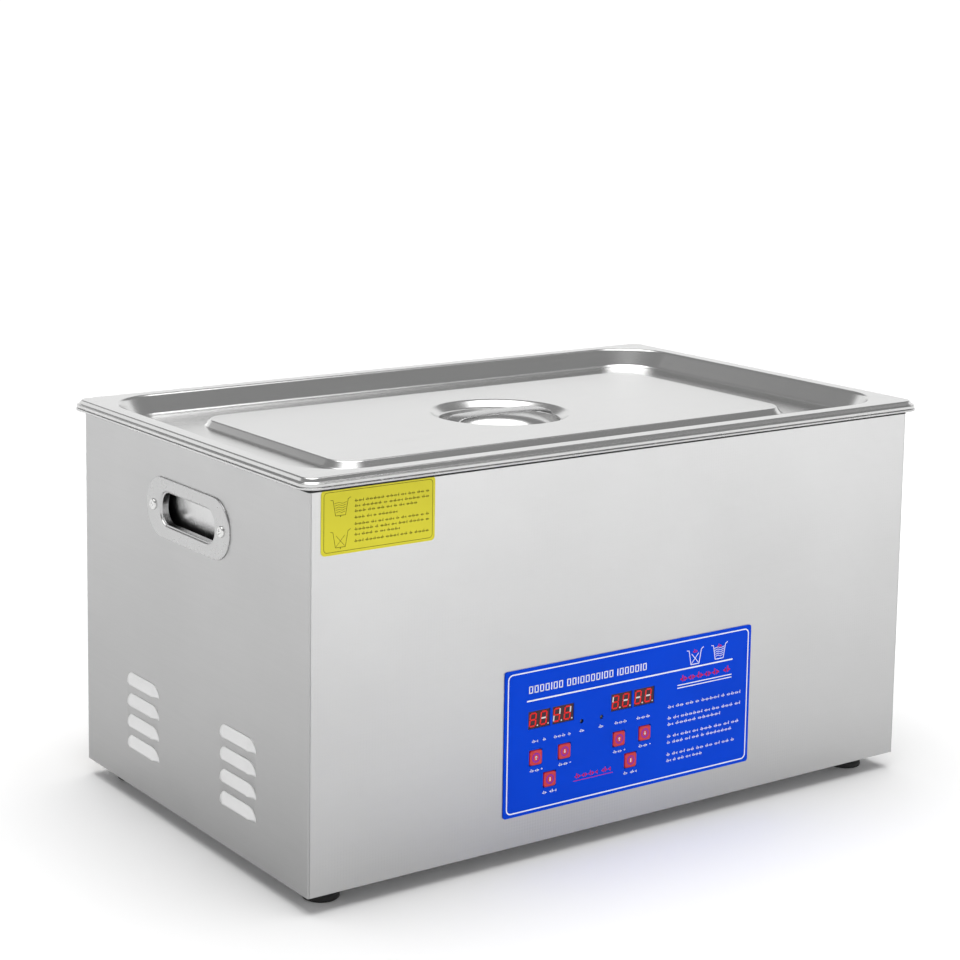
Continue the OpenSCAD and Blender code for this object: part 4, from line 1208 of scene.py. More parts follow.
@dataclass
class SideSheet:
    """One side of the casing: a folded sheet with a finger opening and pressed louvres. In millimetres.

    Its own x runs along the side, y up and z outwards.
    """

    finishes: Finishes
    node: str
    facing: Facing
    half_depth: float = 154.5
    low: float = 12.0
    high: float = 271.5
    sheet: float = 1.0
    fold: float = 1.3
    grip_z: float = 224.0
    grip_half: float = 38.5
    grip_half_height: float = 12.5
    louvre_x: float = 66.5
    louvre_low: float = 45.5
    louvre_pitch: float = 15.25
    louvre_rows: int = 4
    louvre_length: float = 48.0
    louvre_height: float = 9.0
    louvre_out: float = 2.3

    def louvre_spots(self) -> list[Point]:
        """Middle of each louvre, in millimetres."""
        return [(side * self.louvre_x, self.louvre_low + row * self.louvre_pitch)
                for side in (-1, 1) for row in range(self.louvre_rows)]

    def hole_edges(self, bm: bmesh.types.BMesh, points: Sequence[Point]) -> list:
        """Draws a closed line of edges in the sheet's plane.

        Args:
            bm: The mesh.
            points: Corners in millimetres.

        Returns:
            The new edges.
        """
        verts = [bm.verts.new((x * MM, y * MM, 0)) for x, y in points]
        return [bm.edges.new(pair) for pair in zip(verts, verts[1:] + verts[:1])]

    def d_shape(self, half: float, height: float, x: float, y: float) -> list[Point]:
        """Outline of a louvre: straight below, quarter rounds at its upper corners.

        Args:
            half: Half its length.
            height: Its height.
            x: Its middle.
            y: Its lower edge.

        Returns:
            The outline's corners.
        """
        turn = [math.radians(15 * i) for i in range(7)]
        right = [(x + half - height + height * math.cos(a), y + height * math.sin(a)) for a in turn]
        left = [(x - half + height - height * math.sin(a), y + height * math.cos(a)) for a in turn]
        return right + left

    def flat(self) -> bmesh.types.BMesh:
        """Builds the flat of the sheet with its holes, then folds its two long edges.

        Returns:
            The mesh.
        """
        bm = bmesh.new()
        edge = self.half_depth - self.fold
        edges = self.hole_edges(bm,
                                [(-edge, self.low), (edge, self.low), (edge, self.high), (-edge, self.high)])
        grip = []
        for sx, sy, start in ((1, 1, 0), (-1, 1, 90), (-1, -1, 180), (1, -1, 270)):
            for step in range(7):
                angle = math.radians(start + 15 * step)
                grip.append((sx * (self.grip_half - self.grip_half_height + 0.5)
                             + (self.grip_half_height - 0.5) * math.cos(angle),
                             self.grip_z + sy * 0.5 + (self.grip_half_height - 0.5) * math.sin(angle)))
        edges += self.hole_edges(bm, grip)
        for x, y in self.louvre_spots():
            low = y - self.louvre_height / 2
            edges += self.hole_edges(bm, self.d_shape(self.louvre_length / 2 - 0.5, self.louvre_height - 0.5, x,
                                                      low))
        fill_flat(bm, edges)
        for side in (-1, 1):
            rim = [e for e in bm.edges if e.is_boundary
                   and all(abs(v.co.x - side * edge * MM) < WELD for v in e.verts)]
            verts = list({v for e in rim for v in e.verts})
            bmesh.ops.spin(bm, geom=verts + rim, cent=(side * edge * MM, 0, -self.fold * MM),
                           axis=(0, side, 0), dvec=(0, 0, 0), angle=math.pi / 2, steps=5,
                           use_merge=False, use_duplicate=False)
        bmesh.ops.remove_doubles(bm, verts=bm.verts, dist=WELD)
        face_up(bm)
        return bm

    def louvre(self, bm: bmesh.types.BMesh, x: float, y: float) -> None:
        """Adds one pressed hood, open along its lower edge.

        Args:
            bm: Mesh that takes the hood.
            x: Its middle.
            y: Its middle height.
        """
        part = bmesh.new()
        reach = self.louvre_height
        section = rounded([(0, self.louvre_out, 0), (1.2, self.louvre_out, 1.0),
                           (reach - 0.9, 0.35, 0.9), (reach, 0.0, 0)], 3)
        start = self.louvre_length / 2 - reach
        verts = [part.verts.new(((start + r) * MM, 0, z * MM)) for r, z in section]
        geom: list = verts + [part.edges.new(pair) for pair in zip(verts, verts[1:])]
        for centre, run in ((start, -2 * start), (-start, 0)):
            spun = bmesh.ops.spin(part, geom=geom, cent=(centre * MM, 0, 0), axis=(0, 0, 1), dvec=(0, 0, 0),
                                  angle=math.pi / 2, steps=8, use_merge=False, use_duplicate=False)
            edges = [g for g in spun["geom_last"] if isinstance(g, bmesh.types.BMEdge)]
            if run:
                grown = bmesh.ops.extrude_edge_only(part, edges=edges)["geom"]
                moved = {g for g in grown if isinstance(g, bmesh.types.BMVert)}
                bmesh.ops.translate(part, verts=list(moved), vec=(run * MM, 0, 0))
                geom = list(moved) + [g for g in grown if isinstance(g, bmesh.types.BMEdge)
                                      and set(g.verts) <= moved]
        bmesh.ops.remove_doubles(part, verts=part.verts, dist=WELD)
        face_up(part)
        join_into(bm, part, Matrix.Translation((x * MM, (y - self.louvre_height / 2) * MM, 0)))

    def build(self, casing_y: float) -> None:
        """Makes the side in place of its CAD node.

        Args:
            casing_y: World y of the casing's middle, in metres.
        """
        face = -257.0 * MM if self.facing is Facing.LEFT else 257.0 * MM
        place = self.facing.at(face, casing_y, 0)
        piece = make_piece(self.flat(), self.node + "_sheet", self.finishes.side_steel, "housing",
                           [self.node], place, math.radians(28))
        add_wall(piece, 0.8 * MM)
        hoods = bmesh.new()
        for x, y in self.louvre_spots():
            self.louvre(hoods, x, y)
        # The hoods take the paler steel: painted light on the same sheet as the side.
        louvres = make_piece(hoods, self.node + "_louvres", self.finishes.louvre_painted_light_steel, "housing",
                             matrix=place)
        add_wall(louvres, 0.7 * MM)


@dataclass
class CarryHandle:
    """Stamped plate round a finger opening, with a rolled lip and two dome screws. In millimetres."""

    finishes: Finishes
    node: str
    facing: Facing
    half: float = 57.0
    half_height: float = 21.0
    radius: float = 20.5
    out: float = 1.2
    hole_half: float = 37.0
    hole_half_height: float = 11.0
    hole_radius: float = 10.0
    lip: float = 6.0
    screw_x: float = 47.0
    screw_radius: float = 3.9

    def plate(self) -> bmesh.types.BMesh:
        """Builds the plate's face, rounded edge and inward lip.

        Returns:
            The mesh.
        """
        bm = bmesh.new()
        outer = (self.half - self.radius, self.half_height - self.radius)
        inner = (self.hole_half - self.hole_radius, self.hole_half_height - self.hole_radius)
        edge = rounded([(self.radius, 0.02, 0), (self.radius - 0.1, self.out, 0.9),
                        (self.radius - 2.5, self.out, 0)], 4)
        lip = rounded([(self.hole_radius + 3.4, self.out, 0), (self.hole_radius + 1.5, self.out, 0.6),
                       (self.hole_radius + 1.0, 0.2, 0.5), (self.hole_radius, -0.3, 0.7),
                       (self.hole_radius, -self.lip + 1.2, 0.8), (self.hole_radius + 1.0, -self.lip, 0)], 4)
        for path, corner in ((edge, outer), (lip, inner)):
            part = bmesh.new()
            sweep_round_rect(part, scaled(path), (corner[0] * MM, corner[1] * MM), 12)
            join_into(bm, part)
        loops = (ring_loop(bm, (outer[0] * MM, outer[1] * MM), (self.radius - 2.5) * MM, self.out * MM)
                 + ring_loop(bm, (inner[0] * MM, inner[1] * MM), (self.hole_radius + 3.4) * MM, self.out * MM))
        fill_flat(bm, loops)
        face_up(bm)
        return bm

    def build(self) -> None:
        """Makes the plate and its screws in place of the CAD nodes."""
        low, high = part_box(self.node)
        middle = (low + high) / 2
        face = -257.0 * MM if self.facing is Facing.LEFT else 257.0 * MM
        matrix = self.facing.at(face, middle.y, middle.z)
        piece = make_piece(self.plate(), self.node + "_plate", self.finishes.handle_steel, "housing",
                           [self.node], matrix)
        add_wall(piece, 0.7 * MM)
        screws = bmesh.new()
        for side in (-1, 1):
            screw_head(screws, self.screw_radius * MM, 1.9 * MM,
                       matrix @ Matrix.Translation((side * self.screw_x * MM, 0, self.out * MM)))
        stands_for = ["handle_screws"] if self.facing is Facing.LEFT else []
        make_piece(screws, self.node + "_screws", self.finishes.bright_steel, "housing",
                   stands_for)


@dataclass
class Foot:
    """Turned rubber foot with a grip ring and a recessed screw. In millimetres."""

    finishes: Finishes
    node: str

    def build(self) -> None:
        """Makes the foot in place of its CAD node."""
        low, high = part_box(self.node)
        spot = Matrix.Translation(((low.x + high.x) / 2, (low.y + high.y) / 2, low.z))
        rubber = bmesh.new()
        outline = rounded([(4.5, 4, 0), (4.5, 0, 0.4), (7.6, 0, 0), (8.0, 0.5, 0), (9.2, 0.5, 0), (9.6, 0, 0),
                           (12.5, 0, 1.4), (12.2, 4.0, 0.6), (11.5, 4.4, 0.5), (10.7, 12, 0.8), (2.4, 12, 0),
                           (2.4, 4, 0), (4.5, 4, 0)], 4)
        lathe(rubber, scaled(outline), 40, spot)
        make_piece(rubber, self.node + "_rubber", self.finishes.rubber, "housing", [self.node])


@dataclass
class Casing:
    """The folded sheets, their screws, the gasket and the feet."""

    finishes: Finishes
    casing_y: float

    def build(self) -> None:
        """Makes or dresses every part of the casing."""
        for node, facing in (("left_panel", Facing.LEFT), ("right_panel", Facing.RIGHT)):
            SideSheet(self.finishes, node, facing).build(self.casing_y)
        for node, facing in (("handle_plate_left", Facing.LEFT), ("handle_plate_right", Facing.RIGHT)):
            CarryHandle(self.finishes, node, facing).build()
        for node in ("foot_front_left", "foot_front_right", "foot_rear_left", "foot_rear_right"):
            Foot(self.finishes, node).build()
        dress("front_panel", self.finishes.front_steel)
        dress("rear_panel", self.finishes.side_steel)
        dress("base_plate", self.finishes.plain_steel)
        dress("foot_screws", self.finishes.plain_steel)
        dress("rim_gasket", self.finishes.rubber)
        self.trim()

    def trim(self) -> None:
        """Makes the gasket's lip, which laps over the sheets' upper edges."""
        bm = bmesh.new()
        lip = rounded([(0.4, 272.9, 0), (2.5, 272.9, 0.3), (2.5, 269.9, 0.3), (1.95, 269.9, 0)], 3)
        sweep_round_rect(bm, scaled(lip), (255.0 * MM, 152.5 * MM), 6)
        face_up(bm)
        make_piece(bm, "rim_gasket_lip", self.finishes.rubber, "housing",
                   matrix=Facing.TOP.at(0, self.casing_y, 0))


# Control panel ------------------------------------------------------------------


class Mark(Enum):
    """What is printed on a key."""

    UP = "up"
    DOWN = "down"
    POWER = "power"


class PrintPlane:
    """Collects flat printed shapes on one plane, in millimetres, as one thin layer of ink."""

    def __init__(self) -> None:
        """Starts with nothing printed."""
        self.bm = bmesh.new()

    def bar(self, x: float, y: float, width: float, height: float, turn: float = 0.0) -> None:
        """A filled bar.

        Args:
            x: Its middle.
            y: Its middle.
            width: Its width.
            height: Its height.
            turn: Its turn, in degrees.
        """
        grid = bmesh.ops.create_grid(self.bm, x_segments=1, y_segments=1, size=0.5)["verts"]
        matrix = (Matrix.Translation((x * MM, y * MM, 0)) @ Matrix.Rotation(math.radians(turn), 4, "Z")
                  @ Matrix.Diagonal((width * MM, height * MM, 1, 1)))
        bmesh.ops.transform(self.bm, matrix=matrix, verts=grid)

    def line(self, points: Sequence[Point], width: float) -> None:
        """Draws a line of bars from point to point.

        Args:
            points: Its corners.
            width: Its width.
        """
        for (x1, y1), (x2, y2) in zip(points, points[1:]):
            length = math.hypot(x2 - x1, y2 - y1)
            turn = math.degrees(math.atan2(y2 - y1, x2 - x1))
            self.bar((x1 + x2) / 2, (y1 + y2) / 2, length + width * 0.7, width, turn)

    def ring(self, x: float, y: float, radius: float, width: float, steps: int = 32) -> None:
        """A round ring.

        Args:
            x: Its middle.
            y: Its middle.
            radius: Its outer radius.
            width: Its line width.
            steps: Segments in the full turn.
        """
        verts = [self.bm.verts.new(((x + r) * MM, y * MM, 0)) for r in (radius - width, radius)]
        edge = self.bm.edges.new(verts)
        bmesh.ops.spin(self.bm, geom=verts + [edge], cent=(x * MM, y * MM, 0), axis=(0, 0, 1), dvec=(0, 0, 0),
                       angle=math.tau, steps=steps, use_merge=True, use_duplicate=False)

    def frame_line(self, half: Point, radius: float, width: float, middle: Point) -> None:
        """A closed line with round corners.

        Args:
            half: Half sizes.
            radius: Corner radius.
            width: Line width.
            middle: Its middle.
        """
        part = bmesh.new()
        path = [((radius - width) * MM, 0.0), (radius * MM, 0.0)]
        sweep_round_rect(part, path, ((half[0] - radius) * MM, (half[1] - radius) * MM), 8)
        join_into(self.bm, part, Matrix.Translation((middle[0] * MM, middle[1] * MM, 0)))

    def filler(self, x: float, y: float, length: float, height: float, words: Sequence[int]) -> None:
        """A line of filler: rows of small blocks that stand where a line of print goes.

        Args:
            x: Left end.
            y: Middle height.
            length: Length of the line.
            height: Height of its blocks.
            words: How many blocks are in each group.
        """
        units = sum(words) + 0.8 * (len(words) - 1)
        pitch = length / units
        left = x
        for group, count in enumerate(words):
            for index in range(count):
                tall = (group * 3 + index * 5) % 4 == 0
                tick = height * (1.0 if tall else 0.72)
                base = y - height / 2
                self.bar(left + pitch * 0.5, base + height * 0.36, pitch * 0.62, height * 0.26)
                self.bar(left + pitch * (0.24 if index % 2 else 0.72), base + tick / 2, pitch * 0.24, tick)
                left += pitch
            left += 0.8 * pitch

    def tub(self, x: float, y: float, scale: float, width: float, full: bool) -> None:
        """A small picture of a tub, full of liquid or crossed out.

        Args:
            x: Its middle.
            y: Its lowest line.
            scale: Half its width at the top.
            width: Line width.
            full: Whether it holds liquid.
        """
        s = scale
        self.line([(x - s, y + 1.4 * s), (x - 0.76 * s, y + 1.36 * s), (x - 0.5 * s, y), (x + 0.5 * s, y),
                   (x + 0.76 * s, y + 1.36 * s), (x + s, y + 1.5 * s)], width)
        if full:
            for row in range(5):
                level = y + (0.28 + 0.2 * row) * s
                half = (0.42 + 0.05 * row) * s
                self.line([(x - half, level), (x - half / 3, level + 0.07 * s),
                           (x + half / 3, level - 0.05 * s),
                           (x + half, level + 0.05 * s)], width * 0.7)
        else:
            self.line([(x - 0.42 * s, y + 0.1 * s), (x + 0.42 * s, y + 1.0 * s)], width * 0.8)
            self.line([(x + 0.42 * s, y + 0.1 * s), (x - 0.42 * s, y + 1.0 * s)], width * 0.8)

    def finish(self, name: str, material: bpy.types.Material, body: str, slot: str, matrix: Matrix,
               thickness: float = 0.03) -> bpy.types.Object:
        """Raises the ink a little and makes it a piece.

        Args:
            name: Piece name.
            material: The ink.
            body: Body that carries it.
            slot: Material slot; not used.
            matrix: Place of the printed plane.
            thickness: Ink height.

        Returns:
            The piece.
        """
        for face in self.bm.faces:
            if face.normal.z < 0:
                face.normal_flip()
        self.bm.normal_update()
        raised = bmesh.ops.extrude_face_region(self.bm, geom=self.bm.faces[:])["geom"]
        bmesh.ops.translate(self.bm, vec=(0, 0, thickness * MM),
                            verts=[g for g in raised if isinstance(g, bmesh.types.BMVert)])
        return make_piece(self.bm, name, material, body, matrix=matrix)


SEGMENTS: dict[str, tuple[float, float, float]] = {
    "top": (0.0, 1.0, 0.0), "middle": (0.0, 0.0, 0.0), "bottom": (0.0, -1.0, 0.0),
    "upper_left": (-1.0, 0.5, 90.0), "upper_right": (1.0, 0.5, 90.0),
    "lower_left": (-1.0, -0.5, 90.0), "lower_right": (1.0, -0.5, 90.0),
}


@dataclass
class ControlPanel:
    """Blue film with its print, two pairs of two-digit displays, two lamps and six keys. In millimetres."""

    finishes: Finishes
    digit_half_height: float = 4.3
    digit_half_width: float = 2.35
    digit_pitch: float = 8.9
    digit_shift: float = 0.5
    digit_z: float = 97.0
    module_width: float = 18.3
    segment: float = 1.05
    slant: float = 0.10

    def front(self, node: str) -> float:
        """World y of a node's front face, in metres."""
        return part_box(node)[0].y

    def print_overlay(self) -> None:
        """Prints the film: border, rules, captions, pictures and the text column's filler."""
        low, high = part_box("control_overlay")
        middle = ((low.x + high.x) / 2 / MM, (low.z + high.z) / 2 / MM)
        half = ((high.x - low.x) / 2 / MM, (high.z - low.z) / 2 / MM)
        white, red = PrintPlane(), PrintPlane()
        white.frame_line((half[0] - 2.2, half[1] - 2.2), 4.0, 0.85, middle)
        self.title(white)
        white.bar(1.5, 110.5, 181, 1.0)
        white.bar(66.5, 99.6, 50, 0.65)
        white.bar(66.5, 97.6, 50, 0.65)
        red.filler(43.5, 104.2, 47, 4.4, (10, 2))
        white.tub(57.0, 112.6, 7.4, 0.55, False)
        white.tub(79.4, 112.9, 7.4, 0.55, True)
        red.filler(54.6, 121.9, 5.0, 2.6, (2,))
        red.filler(77.0, 122.3, 5.0, 2.6, (2,))
        for x, y, length, words in (
                (-84.5, 82.4, 5.6, (3,)), (-75.4, 82.4, 2.9, (2,)), (-66.3, 82.4, 10.2, (6,)),
            (-54.4, 82.4, 2.9, (2,)),
                (-44.7, 82.6, 4.8, (2,)), (-28.2, 82.6, 4.8, (2,)), (-14.3, 82.6, 11.4, (6,)),
            (5.0, 82.6, 12.6, (6,)),
                (-86.0, 62.3, 8.4, (4,)), (-62.0, 62.3, 8.4, (4,)), (-15.2, 62.3, 8.4, (4,)),
            (7.4, 62.3, 8.4, (4,)),
                (-75.2, 45.4, 12.6, (2, 3)), (-5.6, 45.4, 12.6, (2, 3))):
            white.filler(x, y, length, 2.1, words)
        for x, cross in ((-75.6, True), (-51.6, False), (-4.6, True), (18.0, False)):
            white.bar(x, 62.3, 1.3, 0.4)
            if cross:
                white.bar(x, 62.3, 0.4, 1.3)
        column = ((85.6, 67.6, (3, 4, 4, 2, 9, 2, 7)), (77.6, 67.6, (2, 3, 11, 3, 4, 6, 3)),
                  (73.2, 49, (3, 10, 11)),
                  (64.6, 66.7, (2, 3, 5, 3, 6, 4, 3, 4)), (60.2, 60, (2, 6, 3, 4, 2, 14)),
                  (51.6, 63, (2, 3, 3, 4, 4, 4, 3, 4, 2)), (47.2, 33, (3, 2, 4, 3, 6)))
        for y, length, words in column:
            white.filler(33.0, y, length, 2.3, words)
        red.filler(-48.0, 51.6, 32, 3.4, (7, 3))
        red.bar(-31.6, 48.2, 34, 0.35)
        matrix = Facing.FRONT.at(0, self.front("control_overlay"), 0)
        white.finish("overlay_white_print", self.finishes.white_ink, "housing", "overlay_film", matrix)
        red.finish("overlay_red_print", self.finishes.red_ink, "housing", "overlay_film", matrix)

    def title(self, white: PrintPlane) -> None:
        """Prints a row of hollow and solid blocks where a heading goes.

        Args:
            white: The white print that takes them.
        """
        left, height, y = -87.5, 5.0, 118.0
        for group, count in enumerate((7, 10, 7)):
            for index in range(count):
                if (group + index * 3) % 5 == 2:
                    white.bar(left + 0.6, y, 0.8, height)
                    left += 2.2
                    continue
                for side in (0.5, 3.0):
                    white.bar(left + side, y, 0.75, height)
                for level in (-1, 1):
                    white.bar(left + 1.75, y + level * (height / 2 - 0.35), 2.6, 0.7)
                left += 4.55
            left += 2.2

    def glyph(self, x: float, y: float, lit: PrintPlane, pale: PrintPlane, off: Sequence[str]) -> None:
        """Prints one seven-segment digit and its point.

        Args:
            x: Its middle.
            y: Its middle.
            lit: Plane of the lit segments.
            pale: Plane of the unlit ones.
            off: Names of the unlit segments.
        """
        for name, (sx, sy, turn) in SEGMENTS.items():
            plane = pale if name in off else lit
            upright = turn > 0
            length = self.digit_half_height - 0.5 if upright else 2 * self.digit_half_width - 1.0
            cy = y + sy * self.digit_half_height
            cx = x + sx * self.digit_half_width + (cy - y) * self.slant
            lean = -math.degrees(math.atan(self.slant)) if upright else 0.0
            plane.bar(cx, cy, length, self.segment, turn + lean)
        pale.ring(x + self.digit_half_width + 1.5, y - self.digit_half_height, 0.55, 0.5, 10)

    def print_displays(self) -> None:
        """Prints the digits on the four display modules."""
        rows = {
            "display_temperature": ((), ("middle",), ("upper_right", "lower_left"), ("upper_right",)),
            "display_time": (("upper_left",), ("middle",), ("middle",), ("middle",)),
        }
        for node, digits in rows.items():
            low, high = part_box(node)
            lit, pale = PrintPlane(), PrintPlane()
            to_second = (high.x - low.x) / MM - self.module_width
            for index, off in enumerate(digits):
                x = low.x / MM + self.module_width / 2 + (to_second if index > 1 else 0)
                x += (-1 if index % 2 == 0 else 1) * self.digit_pitch / 2 - self.digit_shift
                self.glyph(x, self.digit_z, lit, pale, off)
            matrix = Facing.FRONT.at(0, low.y, 0)
            lit.finish(node + "_lit", self.finishes.lit, "housing", "display_plastic", matrix)
            pale.finish(node + "_unlit", self.finishes.unlit, "housing", "display_plastic", matrix)
            dress(node, self.finishes.display)

    def key(self, node: str, mark: Mark) -> None:
        """Makes one key with its ring and mark.

        Args:
            node: The CAD key, which is also the body's name.
            mark: What is printed on it.
        """
        low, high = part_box(node)
        half = (high.x - low.x) / 2
        depth = high.y - low.y
        middle = (low + high) / 2
        matrix = Facing.FRONT.at(middle.x, low.y, middle.z)
        cap = bmesh.new()
        round_slab(cap, (half, half), 1.7 * MM, (-depth, 0.0), 0.45 * MM)
        make_piece(cap, node + "_cap", self.finishes.key_red, node, [node], matrix)
        ring, glyph = PrintPlane(), PrintPlane()
        ring.ring(0, 0, 3.3, 0.45, 36)
        ring.ring(0, 0, 2.5, 0.28, 32)
        if mark is Mark.POWER:
            glyph.bar(0, 0, 0.75, 2.6)
        else:
            up = 1 if mark is Mark.UP else -1
            glyph.bar(0, -0.45 * up, 0.75, 1.6)
            glyph.bar(0, 0.35 * up, 1.25, 1.25, 45)
        ring.finish(node + "_ring", self.finishes.blue_ink, node, "key_plastic", matrix)
        glyph.finish(node + "_mark", self.finishes.white_ink, node, "key_plastic", matrix)

    def lamps(self) -> None:
        """Makes the two dark indicator domes."""
        low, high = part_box("indicator_leds")
        bm = bmesh.new()
        for x in (low.x + 1.5 * MM, high.x - 1.5 * MM):
            dome = [(1.5 * math.cos(math.radians(a)), 0.9 * math.sin(math.radians(a))) for a in range(0, 91,
                                                                                                      15)]
            lathe(bm, scaled([(1.5, -4.0)] + dome), 24,
                  Facing.FRONT.at(x, low.y + 0.9 * MM, (low.z + high.z) / 2))
        make_piece(bm, "indicator_domes", self.finishes.smoked, "housing", ["indicator_leds"])

    def build(self) -> None:
        """Dresses the film and makes its print, digits, lamps and keys."""
        dress("control_overlay", self.finishes.overlay)
        self.print_overlay()
        self.print_displays()
        self.lamps()
        marks = {"key_temp_up": Mark.UP, "key_temp_down": Mark.DOWN, "key_heat_power": Mark.POWER,
                 "key_time_up": Mark.UP, "key_time_down": Mark.DOWN, "key_timer_power": Mark.POWER}
        for node, mark in marks.items():
            self.key(node, mark)


@dataclass
class CareLabel:
    """Yellow film label with a border, two pictures and filler lines. In millimetres."""

    finishes: Finishes

    def build(self) -> None:
        """Dresses the label and prints on it."""
        low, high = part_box("care_label")
        half = ((high.x - low.x) / 2 / MM, (high.z - low.z) / 2 / MM)
        dark = PrintPlane()
        dark.frame_line((half[0] - 1.8, half[1] - 1.8), 2.6, 0.3, (0, 0))
        left, top = -half[0], half[1]
        dark.tub(left + 14.0, top - 17.0, 7.2, 0.32, True)
        dark.tub(left + 14.0, top - 37.0, 7.2, 0.32, False)
        for y in (17.6, 37.6):
            dark.bar(left + 14.0, top - y, 0.7, 0.7, 45)
        lines = ((8.8, 56, (5, 10, 7, 3, 4, 4, 2)), (12.2, 56, (3, 10, 2, 7, 8, 4)),
                 (15.4, 47, (6, 4, 4, 3, 2, 3, 6)),
                 (19.4, 32, (6, 3, 2, 11)), (23.5, 56, (8, 3, 3, 5, 2, 3, 6, 2, 2)),
                 (26.9, 56, (10, 2, 5, 3, 5, 8, 2)),
                 (30.2, 34, (3, 6, 2, 3, 7)), (34.3, 56, (5, 10, 7, 4, 2, 8)))
        for down, length, words in lines:
            dark.filler(left + 24.0, top - down, length, 1.9, words)
        matrix = Facing.FRONT.at((low.x + high.x) / 2, low.y, (low.z + high.z) / 2)
        dark.finish("care_label_print", self.finishes.dark_ink, "housing", "label_film", matrix)
        dress("care_label", self.finishes.label)


# Rear fittings -----------------------------------------------------------------


@dataclass
class RearFittings:
    """Fan with its guard, mains inlet, rocker switch, fuse cap, screws and drain valve. In millimetres."""

    finishes: Finishes
    casing_y: float
    rear: float = 154.5
    service_z: float = 62.0

    def at(self, x: float, z: float, out: float = 0.0) -> Matrix:
        """Matrix of a spot on the rear sheet.

        Args:
            x: Its x.
            z: Its height.
            out: How far outside the sheet it lies.

        Returns:
            The 4 x 4 matrix, whose own z points out of the rear.
        """
        return Facing.REAR.at(x * MM, self.casing_y + (self.rear + out) * MM, z * MM)

    def screws(self) -> None:
        """Makes the casing screws all round the rear and front sheets."""
        bm = bmesh.new()
        for x in (-253, 253):
            for z in (40, 142, 245):
                screw_head(bm, 3.0 * MM, 1.8 * MM, self.at(x, z))
        make_piece(bm, "casing_screw_heads", self.finishes.bright_steel, "housing")
        dress("casing_screws", self.finishes.plain_steel)

    def fan(self) -> None:
        """Makes the rotor, the wire guard and the guard's screws."""
        x, z, hole = 150.0, 74.0, 35.75
        dress("fan_frame", self.finishes.black_plastic, 0.6 * MM)
        rotor = bmesh.new()
        hub = rounded([(0, 8, 0), (13.4, 8, 0.4), (15, 7, 1.0), (15, -8, 0.8), (12, -8, 0), (12, 4, 1.0),
                       (0, 4, 0)], 4)
        lathe(rotor, scaled(hub), 40)
        for index in range(7):
            blade = bmesh.new()
            bmesh.ops.create_grid(blade, x_segments=8, y_segments=8, size=1.0)
            for vert in blade.verts:
                u, v = vert.co.x, vert.co.y
                radius = 24.8 + 10.6 * u
                turn = math.tau * index / 7 + 0.30 * v + 0.10 * u * u - 0.08 * u
                lift = 6.4 * v + 1.2 * (1 - v * v) * (0.4 + 0.3 * u)
                vert.co = (radius * math.cos(turn) * MM, radius * math.sin(turn) * MM, lift * MM)
            bmesh.ops.solidify(blade, geom=blade.faces[:], thickness=1.3 * MM)
            bmesh.ops.recalc_face_normals(blade, faces=blade.faces)
            join_into(rotor, blade)
        make_piece(rotor, "fan_rotor_blades", self.finishes.black_plastic, "fan_rotor",
                   ["fan_rotor"], self.at(x, z, -13.0))
        wires = bmesh.new()
        for radius in (12, 20, 28, 36):
            circle = [(radius * math.cos(math.tau * i / 48) * MM, radius * math.sin(math.tau * i / 48) * MM,
                       2.4 * MM)
                      for i in range(48)]
            wire_part(wires, [circle], 0.8 * MM, closed=True, sides=3)
        spokes = [[(-36 * MM, 0, 1.5 * MM), (36 * MM, 0, 1.5 * MM)],
                  [(0, -36 * MM, 1.5 * MM), (0, 36 * MM, 1.5 * MM)]]
        for quarter in range(4):
            way = Vector((math.cos(math.radians(45 + 90 * quarter)), math.sin(math.radians(45 + 90 * quarter))))
            spokes.append([(way.x * r * MM, way.y * r * MM, 1.5 * MM) for r in (36, 46.2)])
            tab = rounded([(2, 0, 0), (4, 0, 0.3), (4, 1.6, 0.4), (2, 1.6, 0), (2, 0, 0)], 3)
            centre = way * (hole * math.sqrt(2) * MM)
            lathe(wires, scaled(tab), 24, Matrix.Translation((*centre, 0)))
        wire_part(wires, spokes, 0.8 * MM, sides=3)
        make_piece(wires, "fan_guard_wires", self.finishes.bright_steel, "housing",
                   ["fan_guard"], self.at(x, z))
        heads = bmesh.new()
        for sx in (-1, 1):
            for sz in (-1, 1):
                screw_head(heads, 3.4 * MM, 1.8 * MM, self.at(x + sx * hole, z + sz * hole, 1.6))
        make_piece(heads, "fan_screw_heads", self.finishes.bright_steel, "housing")

    def bezel(self, outer: Point, inner: Point, out: float, deep: float, radius: float) -> bmesh.types.BMesh:
        """A moulded frame round a recess, open at the back.

        Args:
            outer: Half sizes of the frame.
            inner: Half sizes of the recess.
            out: How far it stands out.
            deep: Depth of the recess behind the sheet.
            radius: Corner radius of the frame.

        Returns:
            The mesh.
        """
        bm = bmesh.new()
        corner = ((outer[0] - radius) * MM, (outer[1] - radius) * MM)
        rim = rounded([(radius, 0, 0), (radius, out, 0.8), (radius - 1.0, out, 0)], 4)
        sweep_round_rect(bm, scaled(rim), corner, 6)
        hole_radius = 1.2
        hole = ((inner[0] - hole_radius) * MM, (inner[1] - hole_radius) * MM)
        part = bmesh.new()
        wall = rounded([(hole_radius + 0.8, out, 0), (hole_radius, out, 0.4), (hole_radius, -deep, 0)], 3)
        sweep_round_rect(part, scaled(wall), hole, 6)
        join_into(bm, part)
        fill_flat(bm, ring_loop(bm, corner, (radius - 1.0) * MM, out * MM)
                  + ring_loop(bm, hole, (hole_radius + 0.8) * MM, out * MM))
        bmesh.ops.edgeloop_fill(bm, edges=ring_loop(bm, hole, hole_radius * MM, -deep * MM))
        face_up(bm)
        return bm

